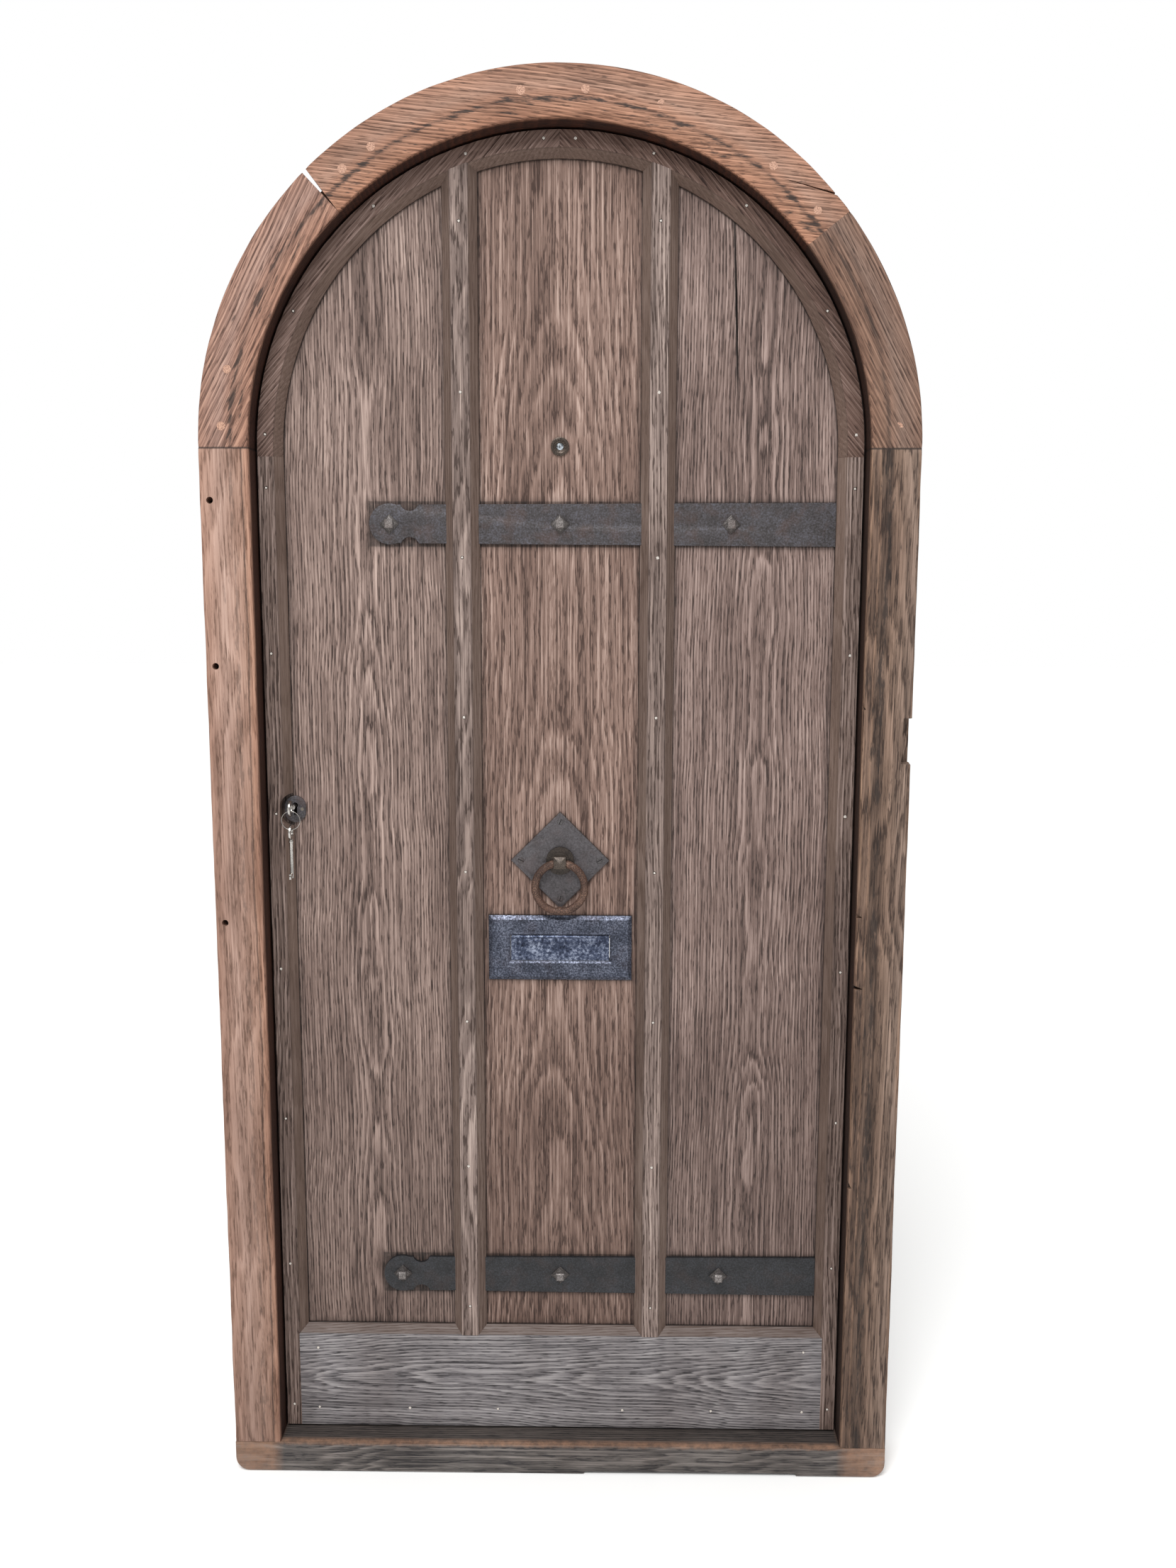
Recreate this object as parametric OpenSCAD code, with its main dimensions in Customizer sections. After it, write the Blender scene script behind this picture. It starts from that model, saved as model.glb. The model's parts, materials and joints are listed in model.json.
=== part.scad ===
// Arched oak entrance door in its pegged frame, with its ironmongery, lock and keys.
// Millimetres. X runs across the door, Y from the street into the house, Z up.
// The origin is the middle of the sill's underside.

/* [Frame] */
// Width over the outside of the frame
frame_w = 1040; // [980:10:1300]
// Height of the arch's centre above the sill's underside
spring_z = 1606; // [1480:2:2000]
// Face width of the jambs and the arch
jamb_w = 73; // [68:1:90]
// Depth of the frame, front to back
frame_d = 102; // [98:1:130]
// Depth of the stop that the leaf closes against
stop_d = 53; // [45:1:55]
// Width of the rebate behind the stop
rebate_w = 13; // [10:1:18]
// Height of the sill at its front edge
sill_h = 50; // [45:1:75]
// Rise of the sill's weathered top towards the leaf
sill_rise = 4; // [2:1:6]
// Height of the worn hollow under the sill
sill_wear = 4; // [2:1:8]
// Radius of the sill's lower corners
sill_round = 22; // [10:1:30]
// Diameter of the fixing holes in the lock jamb
fixing_hole_d = 10; // [8:1:12]
// Diameter of the oak pegs in the arch
peg_d = 12; // [10:1:14]

/* [Leaf] */
// Thickness of the face boards
board_t = 20; // [18:1:26]
// Thickness of the framing behind the boards
backing_t = 26; // [24:1:30]
// Width of the framing's stiles and head
stile_w = 95; // [90:1:120]
// Height of the framing's ledges
ledge_h = 140; // [110:2:170]
// Gap between the leaf and the rebate
leaf_gap = 3; // [2.5:0.5:5]
// Thickness of the strips planted on the boards
strip_t = 16; // [14:1:20]
// Flat width of the margin strips
margin_flat = 23; // [18:1:30]
// Flat width of the cover strips
muntin_flat = 25.5; // [20:0.5:34]
// Width of the chamfer on every strip
chamfer_w = 12.75; // [8:0.25:16]
// Thickness of a strip's edge below its chamfer
strip_edge = 4; // [2:0.5:6]
// Height of the bottom rail's flat face
rail_h = 158; // [120:2:200]

/* [Ironmongery] */
// Thickness of the strap iron
strap_t = 5; // [4:0.5:6]
// Half height of the strap at its round end
strap_half = 28; // [24:1:34]
// Extra half height at the strap's root
strap_flare = 4; // [0:0.5:6]
// Distance from the middle bolt to the outer bolts
strap_pitch = 253; // [240:1:262]
// Diameter of the strap bolts
bolt_d = 10; // [8:1:12]
// Side of the knocker's square plate
knock_side = 106; // [90:1:120]
// Height of the knocker's stud
knock_z = 993; // [960:1:1010]
// Mean radius of the knocker's ring
ring_r = 38.5; // [34:0.5:42]
// Width of the letter plate
letter_w = 221; // [200:1:230]
// Height of the letter plate
letter_h = 102; // [90:1:110]
// Height of the letter plate's middle
letter_z = 855; // [830:1:860]
// Width of the letter opening
slot_w = 153; // [130:1:160]
// Height of the letter opening
slot_h = 41; // [36:1:48]
// Height of a butt hinge
hinge_h = 100; // [80:5:125]

/* [Lock] */
// Height of the key's axis
key_z = 1077; // [1065:1:1110]
// Distance from the leaf's edge to the key's axis
backset = 51.5; // [45:0.5:60]
// Travel of the lock bolt
bolt_throw = 20; // [15:1:22]
// Mean radius of the split ring on the key
key_ring_r = 13.5; // [12:0.5:15]

/* [Hidden] */
$fn = 96;
fit = 0.3;              // loose fit between pieces of wood or iron
tight = 0.05;           // a fastener in its hole
bite = 0.5;             // how far a cutting shape runs past a face
tall = 4000;            // taller than any door

// Depths, from the front of the frame to the back of the leaf.
y_front = -frame_d / 2;
y_back = frame_d / 2;
y_stop = y_front + stop_d;
seat_gap = 1;
y_board = y_stop + seat_gap;
y_strip = y_board - strip_t;
y_mid = y_board + board_t;
y_leaf = y_mid + backing_t;

// Radii about the arch's centre, which are half widths below it.
outer_r = frame_w / 2;
open_r = outer_r - jamb_w;
rebate_r = open_r + rebate_w;
leaf_r = rebate_r - leaf_gap;
strip_gap = leaf_gap + 0.5;
strip_r = open_r - strip_gap;
flat_r = strip_r - margin_flat;
panel_r = flat_r - chamfer_w;
frame_arris = 2.5;

// Heights and the three equal bays of the leaf.
sill_top = sill_h + sill_rise;
leaf_z = sill_top + leaf_gap;
rail_z = leaf_z + rail_h;
margin_joint_z = spring_z - 9;
muntin_w = muntin_flat + 2 * chamfer_w;
bay_w = (2 * panel_r - 2 * muntin_w) / 3;
muntin_x = (bay_w + muntin_w) / 2;

// Arch joints and pegs, as angles up from the hinge side.
joint_right = 38.5;
joint_left = 133.7;
tenon_r = open_r + 35;
tenon_size = [30, 14, 120];
peg_r = open_r + 39;
foot_tenon = [36, 14, 30];
worn_from = 40;
worn_to = outer_r - 142;
notch = [14, 25, 68];
notch_z = spring_z - 455;
foot_x = (rebate_r + outer_r) / 2;
peg_angles = [3.6, 41.9, 52.1, 73, 85.6, 96.2, 113, 122.6, 128.5, 167, 176.4];
fixing_x = outer_r - 14.5;
fixing_zs = [904, 1292, spring_z - 74];

// Straps, bolts and ledges.
strap_upper_z = spring_z - 105.5;
strap_lower_z = rail_z + 100;
strap_zs = [strap_upper_z, strap_lower_z];
strap_end_x = panel_r - 0.5;
penny_r = strap_half + 2;
neck_r = 14;
bolt_xs = [-strap_pitch, 0, strap_pitch];
ledge_middle_z = knock_z + 7;
stub = [12, 10];
shake = [[251, 317], [257, 215], [260, 78], [254.5, 205]];
shake_depth = 9;
washer_t = 2.5;
nut_t = 8;

// Knocker, letter plate and viewer.
plate_t = 4;
y_plate = y_board - plate_t;
knock_screw_r = 60;
boss_r = 21.5;
stud_side = 18.5;
stud_out = 20;
stem_d = 8;
y_ring = y_plate - 13;
ring_wire = 5.3;
ring_neck = 4;
ring_room = 1.6;
neck_angle = 25;
letter_t = 7;
y_letter = y_board - letter_t;
letter_bevel = 5;
flap_t = 3;
rod_d = 3;
barrel_r = 2.7;
y_rod = y_board - 3;
rod_z = letter_z + slot_h / 2 - barrel_r - fit;
letter_bolt_x = (slot_w + letter_w) / 4;
letter_bolt_d = 5;
viewer_z = spring_z + 7;
viewer_r = 13.5;
viewer_tube_r = 7;
viewer_bore_r = 5;

// Lock, keep and keys.
key_x = -leaf_r + backset;
y_lock = y_mid + 10;
case_size = [66, 14, 72];
case_wall = 1.5;
y_cap = y_lock + case_size[1] / 2 - case_wall;
ward_r = [5, 6.5];
y_ward = y_cap - 5;
forend_t = 2.5;
forend_size = [18, 112];
case_x = -leaf_r + forend_t;
case_z = key_z - 24;
lock_bolt_size = [56, 8, 24];
lock_bolt_z = key_z + 28;
keep_t = 2;
keep_size = [22, 70];
escutcheon_t = 3;
escutcheon_r = 16;
escutcheon_step = 4.5;
escutcheon_z = key_z - 6;
shank_r = 3;
bow_r = 12;
bow_hole_r = 6;
bow_t = 3;
y_bow = y_board - 36;
bit_size = [3, 8, 14];
key_ring_wire = 1.1;
ring_play = 0.3;
spare_z = key_z - bow_hole_r + key_ring_wire + ring_play;

// Hinges: plates let into the leaf's edge and the rebate, and a knuckle behind.
hinge_zs = [strap_lower_z, (strap_lower_z + strap_upper_z) / 2, strap_upper_z];
pin_x = rebate_r - leaf_gap / 2;
knuckle_r = 6;
pin_r = 3;
y_pin = max(y_back, y_leaf) + knuckle_r + fit;
plate_gap = 0.2;
hinge_plate_t = 2.5;
hinge_plate_w = 34;
knuckles = 5;
knuckle_step = hinge_h / knuckles;
hinge_screw_zs = [-34, 0, 34];

// --- Helpers ---

// Something placed on the arch at an angle, with X outwards and Z along the arch.
module on_arch(angle, r) {
  translate([0, 0, spring_z]) rotate([0, -angle, 0]) translate([r, 0, 0]) children();
}

// A profile of radius and depth swept round the arch from one angle to another.
module sweep(from, to) {
  translate([0, 0, spring_z]) rotate([90, 0, 0]) rotate([0, 0, from])
    rotate_extrude(angle = to - from, $fn = 240) mirror([0, 1]) children();
}

// A round bar along Y.
module bar_y(x, z, y0, y1, r) {
  translate([x, y0, z]) rotate([-90, 0, 0]) cylinder(r = r, h = y1 - y0);
}

// A box from corner to corner.
module span(low, high) {
  translate(low) cube(high - low);
}

// A shape of X and Z, as thick as the depth from y0 to y1.
module slab(y0, y1) {
  translate([0, y1, 0]) rotate([90, 0, 0]) linear_extrude(y1 - y0) children();
}

// A countersunk wood screw pointing down -Z, its head's face at 0.
module screw(length, d, head_d, grow = 0) {
  translate([0, 0, -length]) cylinder(d = d + grow, h = length);
  translate([0, 0, -head_d / 4]) cylinder(d1 = d + grow, d2 = head_d + grow, h = head_d / 4);
  // Its hole runs on past the face.
  if (grow > 0) translate([0, 0, -grow]) cylinder(d = head_d + grow, h = 2 * grow);
}

// A screw that enters the door's face from the front.
module face_screw(x, y, z, length, d, head_d, grow = 0) {
  translate([x, y, z]) rotate([90, 0, 0]) screw(length, d, head_d, grow);
}

// --- Frame ---

module frame_profile() {
  polygon([
    [open_r + frame_arris, y_front], [outer_r, y_front], [outer_r, y_back],
    [rebate_r, y_back], [rebate_r, y_stop], [open_r, y_stop], [open_r, y_front + frame_arris]
  ]);
}

module foot_tenons(grow) {
  for (side = [-1, 1])
    translate([side * foot_x, 0, sill_h - foot_tenon[2] / 2 + bite / 2])
      cube([foot_tenon[0] + grow, foot_tenon[1] + grow, foot_tenon[2] + bite + grow], center = true);
}

module joint_tenons(grow) {
  for (angle = [0, joint_right, joint_left, 180])
    on_arch(angle, tenon_r) cube(tenon_size + [grow, grow, grow], center = true);
}

module pegs(grow) {
  for (angle = peg_angles)
    on_arch(angle, peg_r) bar_y(0, 0, y_front - grow, y_back + grow, peg_d / 2 + grow / 10);
}

module sill_corner(side) {
  translate([side * (outer_r - sill_round), 0, sill_round]) difference() {
    translate([side * sill_round / 2 + side * bite, 0, -sill_round / 2 - bite])
      cube([sill_round + bite * 2, frame_d + 2, sill_round + bite * 2], center = true);
    rotate([90, 0, 0]) cylinder(r = sill_round, h = frame_d + 4, center = true);
  }
}

module sill() {
  color("#6d6258") difference() {
    union() {
      span([-outer_r, y_front, 0], [outer_r, y_back, sill_h]);
      rotate([90, 0, 90]) translate([0, 0, -open_r]) linear_extrude(2 * open_r)
        polygon([[y_front, sill_h - 1], [y_back, sill_h - 1], [y_back, sill_top],
                 [y_stop, sill_top], [y_front, sill_h]]);
      span([-rebate_r, y_stop, sill_h - 1], [rebate_r, y_back, sill_top]);
    }
    sill_corner(-1);
    sill_corner(1);
    span([worn_from, y_front - 1, -1], [worn_to, y_back + 1, sill_wear]);
    foot_tenons(fit);
  }
}

module jamb_blank() {
  translate([0, 0, sill_h]) linear_extrude(spring_z - sill_h) frame_profile();
  intersection() {
    foot_tenons(0);
    span([0, y_front, 0], [outer_r, y_back, sill_h + bite]);
  }
}

module jamb_hinge() {
  color("#7d5b45") difference() {
    jamb_blank();
    joint_tenons(fit);
    translate([outer_r - notch[0], y_front - bite, notch_z])
      cube([notch[0] + bite, notch[1] + bite, notch[2]]);
    hinge_plates("frame", fit / 3);
    hinge_screws("frame", tight);
  }
}

module jamb_lock() {
  color("#8a6146") difference() {
    mirror([1, 0, 0]) jamb_blank();
    joint_tenons(fit);
    for (z = fixing_zs) bar_y(-fixing_x, z, y_front - 1, y_back + 1, fixing_hole_d / 2);
    keep_blank(fit / 3);
    bolt_mouth(-rebate_r - bolt_throw - 3, -rebate_r, 1);
    keep_screws(tight);
  }
}

module arch_piece(from, to) {
  difference() {
    sweep(from, to) frame_profile();
    joint_tenons(fit);
    pegs(1);
  }
}

module arch_right() { color("#93674a") arch_piece(0, joint_right); }
module arch_left() { color("#8b6247") arch_piece(joint_left, 180); }

// The crown has shrunk back from the left piece, and its joint gapes towards the outside.
module arch_crown() {
  gape = 7;
  color("#96694b") difference() {
    arch_piece(joint_right, joint_left);
    on_arch(joint_left, 0) slab(y_front - 1, y_back + 1)
      polygon([[open_r - 1, -fit / 2], [outer_r + 1, -gape], [outer_r + 1, 1], [open_r - 1, 1]]);
  }
}

module arch_tenons() {
  color("#b58a5e") difference() {
    joint_tenons(0);
    pegs(1);
  }
}

module frame_pegs() { color("#b98f78") pegs(0); }

// --- Keep and hinges ---

module keep_blank(grow) {
  span([-rebate_r - keep_t - grow, y_lock - keep_size[0] / 2 - grow, lock_bolt_z - keep_size[1] / 2 - grow],
       [-rebate_r, y_lock + keep_size[0] / 2 + grow, lock_bolt_z + keep_size[1] / 2 + grow]);
}

module keep_screws(grow) {
  for (side = [-1, 1])
    translate([-rebate_r, y_lock, lock_bolt_z + side * (keep_size[1] / 2 - 8)])
      rotate([0, 90, 0]) screw(22, 3.5, 7, grow);
}

// The mortise that the lock bolt enters, larger than the bolt all round.
module bolt_mouth(x0, x1, grow) {
  span([x0, y_lock - lock_bolt_size[1] / 2 - grow, lock_bolt_z - lock_bolt_size[2] / 2 - grow],
       [x1, y_lock + lock_bolt_size[1] / 2 + grow, lock_bolt_z + lock_bolt_size[2] / 2 + grow]);
}

module keep_plate() {
  color("#77716a") difference() {
    keep_blank(0);
    bolt_mouth(-rebate_r - keep_t - 1, -rebate_r + 1, 2 * fit);
    keep_screws(tight);
  }
}

// The plate of one hinge, on the frame's or the leaf's side of the pin.
module hinge_plate(side, grow) {
  x0 = side == "frame" ? pin_x + plate_gap : pin_x - plate_gap - hinge_plate_t;
  span([x0 - grow, y_pin - knuckle_r - hinge_plate_w, -hinge_h / 2 - grow],
       [x0 + hinge_plate_t + grow, y_pin, hinge_h / 2 + grow]);
}

module hinge_plates(side, grow) {
  for (z = hinge_zs) translate([0, 0, z]) hinge_plate(side, grow);
}

// Every other knuckle belongs to this side; the other side's places stay open.
module knuckle_row(first, r, gap) {
  for (i = [first : 2 : knuckles - 1])
    translate([pin_x, y_pin, -hinge_h / 2 + i * knuckle_step + gap / 2])
      cylinder(r = r, h = knuckle_step - gap);
}

module hinge_half(side, z) {
  first = side == "frame" ? 0 : 1;
  translate([0, 0, z]) difference() {
    union() {
      hinge_plate(side, 0);
      knuckle_row(first, knuckle_r, plate_gap);
    }
    knuckle_row(1 - first, knuckle_r + 1, -plate_gap);
    translate([pin_x, y_pin, -hinge_h]) cylinder(r = pin_r + tight, h = 2 * hinge_h);
    translate([0, 0, -z]) hinge_screws(side, tight);
  }
}

module hinge_plates_fixed() { color("#5d5852") for (z = hinge_zs) hinge_half("frame", z); }
module hinge_plates_moving() { color("#5d5852") for (z = hinge_zs) hinge_half("leaf", z); }

module hinge_screws(side, grow) {
  turn = side == "frame" ? -90 : 90;
  x = side == "frame" ? pin_x + plate_gap : pin_x - plate_gap;
  for (z = hinge_zs, dz = hinge_screw_zs)
    translate([x, y_pin - knuckle_r - hinge_plate_w / 2, z + dz])
      rotate([0, turn, 0]) screw(24, 4, 8, grow);
}

module hinge_pins() {
  color("#8c8782") for (z = hinge_zs) translate([pin_x, y_pin, z - hinge_h / 2]) {
    cylinder(r = pin_r, h = hinge_h);
    for (end = [-3, hinge_h]) translate([0, 0, end]) cylinder(r = knuckle_r - 1, h = 3);
  }
}

module frame_screws() {
  color("#6f6a64") {
    hinge_screws("frame", 0);
    keep_screws(0);
  }
}

// --- Leaf: boards and framing ---

// The leaf's arched outline, cut to a range of widths.
module leaf_piece(x0, x1, y0, y1) {
  intersection() {
    union() {
      translate([0, y0, spring_z]) rotate([-90, 0, 0]) cylinder(r = leaf_r, h = y1 - y0, $fn = 240);
      span([-leaf_r, y0, leaf_z], [leaf_r, y1, spring_z]);
    }
    span([x0, y0 - 1, leaf_z], [x1, y1 + 1, tall]);
  }
}

module keyhole(y0, y1) {
  bar_y(key_x, key_z, y0, y1, shank_r + 1);
  span([key_x - bit_size[0] / 2 - 1, y0, key_z - bit_size[2] - 1], [key_x + bit_size[0] / 2 + 1, y1, key_z]);
}

// Every hole that the leaf's fittings need through its boards and ledges.
module fitting_holes() {
  for (x = bolt_xs, z = strap_zs) bar_y(x, z, y_board - 1, y_leaf + 1, bolt_d / 2 + fit / 2);
  bar_y(0, knock_z, y_board - 1, y_leaf + 1, stem_d / 2 + fit / 2);
  bar_y(0, viewer_z, y_board - 1, y_leaf + 1, viewer_tube_r + fit / 2);
  letter_slot(y_board - 1, y_leaf + 1, 1);
  for (side = [-1, 1])
    bar_y(side * letter_bolt_x, letter_z, y_board - 1, y_leaf + 1, letter_bolt_d / 2 + fit / 2);
  keyhole(y_board - 1, y_lock);
  knocker_fixings(tight);
  escutcheon_fixings(tight);
  nails(tight);
}

module letter_slot(y0, y1, grow) {
  span([-slot_w / 2 - grow, y0, letter_z - slot_h / 2 - grow],
       [slot_w / 2 + grow, y1, letter_z + slot_h / 2 + grow]);
}

module board_tongues(grow) {
  y = (y_board + y_mid) / 2;
  intersection() {
    span([-muntin_x - 6 - grow, y - 3 - grow, leaf_z - bite], [muntin_x + 6 + grow, y + 3 + grow, tall]);
    leaf_piece(-leaf_r, leaf_r, y_board, y_mid);
  }
}

module board_middle() {
  color("#87705f") difference() {
    union() {
      leaf_piece(-muntin_x, muntin_x, y_board, y_mid);
      board_tongues(0);
    }
    fitting_holes();
  }
}

module side_board(x0, x1) {
  difference() {
    leaf_piece(x0, x1, y_board, y_mid);
    board_tongues(fit);
    fitting_holes();
  }
}

module board_left() { color("#7f6a5c") side_board(-leaf_r, -muntin_x); }

// The hinge-side board has a drying shake near its top.
module board_right() {
  color("#806b5d") difference() {
    side_board(muntin_x, leaf_r);
    hinge_plates("leaf", fit / 3);
    translate([0, 0, spring_z]) slab(y_board - bite, y_board + shake_depth) polygon(shake);
  }
}

module ledge(z) {
  inner = leaf_r - stile_w;
  color("#75604f") difference() {
    union() {
      span([-inner, y_mid, z - ledge_h / 2], [inner, y_leaf, z + ledge_h / 2]);
      ledge_stubs(z, 0);
    }
    fitting_holes();
  }
}

module ledge_stubs(z, grow) {
  inner = leaf_r - stile_w;
  y = (y_mid + y_leaf) / 2;
  span([-inner - stub[0] - grow, y - stub[1] / 2 - grow, z - ledge_h / 2 + 15 - grow],
       [inner + stub[0] + grow, y + stub[1] / 2 + grow, z + ledge_h / 2 - 15 + grow]);
}

module ledge_top() { ledge(strap_upper_z); }
module ledge_middle() { ledge(ledge_middle_z); }
module ledge_bottom() { ledge(strap_lower_z); }

module stile(side) {
  x0 = side > 0 ? leaf_r - stile_w : -leaf_r;
  difference() {
    span([x0, y_mid, leaf_z], [x0 + stile_w, y_leaf, spring_z]);
    for (z = [strap_upper_z, ledge_middle_z, strap_lower_z]) ledge_stubs(z, fit);
  }
}

module stile_hinge() {
  color("#715c4c") difference() {
    stile(1);
    hinge_plates("leaf", fit / 3);
    hinge_screws("leaf", tight);
  }
}

module stile_lock() {
  color("#715c4c") difference() {
    stile(-1);
    lock_case_blank(fit);
    forend_blank(fit / 3);
    keyhole(y_mid - 1, y_lock);
    forend_screws(tight);
  }
}

module head_piece(from) {
  color("#75604f") sweep(from, from + 90)
    polygon([[leaf_r - stile_w, y_mid], [leaf_r, y_mid], [leaf_r, y_leaf], [leaf_r - stile_w, y_leaf]]);
}

module head_right() { head_piece(0); }
module head_left() { head_piece(90); }

// --- Leaf: planted strips ---

module margin_profile() {
  polygon([
    [strip_r, y_strip], [flat_r, y_strip], [panel_r, y_board - strip_edge],
    [panel_r, y_board], [strip_r, y_board]
  ]);
}

module rail_solid() {
  rotate([90, 0, 90]) translate([0, 0, -flat_r]) linear_extrude(2 * flat_r)
    polygon([[y_strip, leaf_z], [y_board, leaf_z], [y_board, rail_z + chamfer_w],
             [y_board - strip_edge, rail_z + chamfer_w], [y_strip, rail_z]]);
}

// Heads of the nails that hold the strips, driven along their flats.
module nails(grow) {
  flat_x = (flat_r + strip_r) / 2;
  foot = leaf_z + 35;
  run = margin_joint_z - 45 - foot;
  for (side = [-1, 1]) {
    for (i = [0 : 6]) nail(side * flat_x, foot + run * i / 6, grow);
    for (angle = [3, 27, 52, 72, 87]) on_arch(90 + side * (90 - angle), flat_x) nail(0, 0, grow);
    for (i = [0 : 7]) nail(side * muntin_x, rail_z + 50 + (spring_z + 320 - rail_z - 50) * i / 7, grow);
    for (x = [0.93, 0.58, 0.24]) nail(side * x * flat_r, leaf_z + 30, grow);
    nail(side * 0.93 * flat_r, rail_z - 24, grow);
  }
}

module nail(x, z, grow) {
  nail_r = 2.4;
  bar_y(x, z, y_strip - 0.3, y_board + 8, nail_r + grow / 2);
}

module margin_side() {
  difference() {
    translate([0, 0, leaf_z]) linear_extrude(margin_joint_z - leaf_z) margin_profile();
    rail_solid();
  }
}

module margin_hinge() {
  color("#6f5d52") difference() {
    margin_side();
    nails(tight);
  }
}

// The lock-side margin is scooped out round the escutcheon.
module margin_lock() {
  color("#6f5d52") difference() {
    mirror([1, 0, 0]) margin_side();
    escutcheon_shape(y_strip - 1, y_board + 1, 5);
    nails(tight);
  }
}

module margin_arch(side) {
  color("#71594d") difference() {
    union() {
      sweep(side > 0 ? 0 : 90, side > 0 ? 90 : 180) margin_profile();
      mirror([side > 0 ? 0 : 1, 0, 0]) translate([0, 0, margin_joint_z])
        linear_extrude(spring_z - margin_joint_z) margin_profile();
    }
    nails(tight);
  }
}

module margin_arch_right() { margin_arch(1); }
module margin_arch_left() { margin_arch(-1); }

// A cover strip, coped over the margin at its head and over the rail at its foot, and
// notched over both straps.
module muntin(side) {
  x = side * muntin_x;
  half = muntin_flat / 2;
  color("#826b5a") difference() {
    intersection() {
      translate([x, 0, rail_z - bite]) linear_extrude(spring_z + flat_r - rail_z)
        polygon([[-half, y_strip], [half, y_strip], [half + chamfer_w, y_board - strip_edge],
                 [half + chamfer_w, y_board], [-half - chamfer_w, y_board],
                 [-half - chamfer_w, y_board - strip_edge]]);
      union() {
        translate([0, y_strip - 1, spring_z]) rotate([-90, 0, 0])
          cylinder(r = flat_r, h = strip_t + 2, $fn = 240);
        span([-flat_r, y_strip - 1, rail_z], [flat_r, y_board + 1, spring_z]);
      }
    }
    sweep(0, 180) margin_profile();
    rail_solid();
    for (z = strap_zs) translate([0, 0, z]) strap_shape(fit);
    nails(tight);
  }
}

module muntin_left() { muntin(-1); }
module muntin_right() { muntin(1); }

module bottom_rail() {
  color("#655c55") difference() {
    rail_solid();
    nails(tight);
  }
}

module strip_nails() { color("#b9b2aa") nails(0); }

// --- Straps and their bolts ---

// A tapered strap with a necked penny end towards the lock.
module strap_shape(grow) {
  half_end = strap_half + strap_flare + grow;
  slab(y_board - strap_t - grow, y_board) difference() {
    union() {
      translate([-strap_pitch, 0]) circle(r = penny_r + grow);
      polygon([[-strap_pitch, -strap_half - grow], [strap_end_x, -half_end],
               [strap_end_x, half_end], [-strap_pitch, strap_half + grow]]);
    }
    for (side = [-1, 1])
      translate([-strap_pitch + penny_r, side * (strap_half + 5)]) circle(r = neck_r - grow);
  }
}

module strap(z) {
  color("#4b4441") difference() {
    translate([0, 0, z]) strap_shape(0);
    for (x = bolt_xs) bar_y(x, z, y_board - strap_t - 1, y_board + 1, bolt_d / 2 + fit / 2);
  }
}

module strap_upper() { strap(strap_upper_z); }
module strap_lower() { strap(strap_lower_z); }

// A forged bolt: a diamond base that rises to a small square face.
module strap_bolt() {
  base = 19;
  face = 10;
  head_t = 10;
  y0 = y_board - strap_t;
  hull() {
    translate([0, y0 - 1, 0]) rotate([0, 45, 0]) cube([base, 2, base], center = true);
    translate([0, y0 - head_t, 0]) cube([face, 1, face], center = true);
  }
  bar_y(0, 0, y0 - 1, y_leaf + washer_t + nut_t + 4, bolt_d / 2);
}

module strap_bolts() {
  color("#443d3a") for (x = bolt_xs, z = strap_zs) translate([x, 0, z]) strap_bolt();
}

module through_washers() {
  color("#5a534e") difference() {
    union() {
      for (x = bolt_xs, z = strap_zs) bar_y(x, z, y_leaf, y_leaf + washer_t, bolt_d * 1.3);
      bar_y(0, knock_z, y_leaf, y_leaf + washer_t, bolt_d * 1.3);
    }
    for (x = bolt_xs, z = strap_zs) bar_y(x, z, y_leaf - 1, y_leaf + 9, bolt_d / 2 + tight);
    bar_y(0, knock_z, y_leaf - 1, y_leaf + 9, stem_d / 2 + tight);
  }
}

module square_nut(x, z, d) {
  y0 = y_leaf + washer_t;
  difference() {
    span([x - d * 0.85, y0, z - d * 0.85], [x + d * 0.85, y0 + nut_t, z + d * 0.85]);
    bar_y(x, z, y0 - 1, y0 + nut_t + 1, d / 2 + tight);
  }
}

module through_nuts() {
  color("#554e49") {
    for (x = bolt_xs, z = strap_zs) square_nut(x, z, bolt_d);
    square_nut(0, knock_z, stem_d);
  }
}

// --- Viewer ---

module viewer_barrel() {
  color("#8a7a6c") difference() {
    union() {
      bar_y(0, viewer_z, y_board - 3, y_board, viewer_r);
      bar_y(0, viewer_z, y_board - 0.1, y_board + 14, viewer_tube_r);
    }
    bar_y(0, viewer_z, y_board - 4, y_board - 1, viewer_r - 4.5);
    bar_y(0, viewer_z, y_board - 2, y_board + 15, viewer_bore_r);
  }
}

module viewer_lens() {
  color("#b9c9d4") bar_y(0, viewer_z, y_board - 2, y_board + 4, viewer_bore_r - tight);
}

module viewer_sleeve() {
  color("#8d8273") difference() {
    union() {
      bar_y(0, viewer_z, y_board + 6, y_mid + 1, viewer_bore_r - tight);
      bar_y(0, viewer_z, y_mid, y_mid + 2.5, viewer_r - 1.5);
    }
    bar_y(0, viewer_z, y_board + 5, y_mid + 4, viewer_bore_r - 2);
  }
}

// --- Knocker ---

module knocker_fixings(grow) {
  for (angle = [0 : 90 : 270])
    face_screw(knock_screw_r * cos(angle), y_plate, knock_z + knock_screw_r * sin(angle), 22, 4.5, 10, grow);
}

module knocker_plate() {
  color("#4d4c4b") difference() {
    translate([0, y_plate + plate_t / 2, knock_z]) rotate([0, 45, 0])
      cube([knock_side, plate_t, knock_side], center = true);
    bar_y(0, knock_z, y_plate - 1, y_board + 1, stem_d / 2 + fit / 2);
    knocker_fixings(tight);
  }
}

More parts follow.
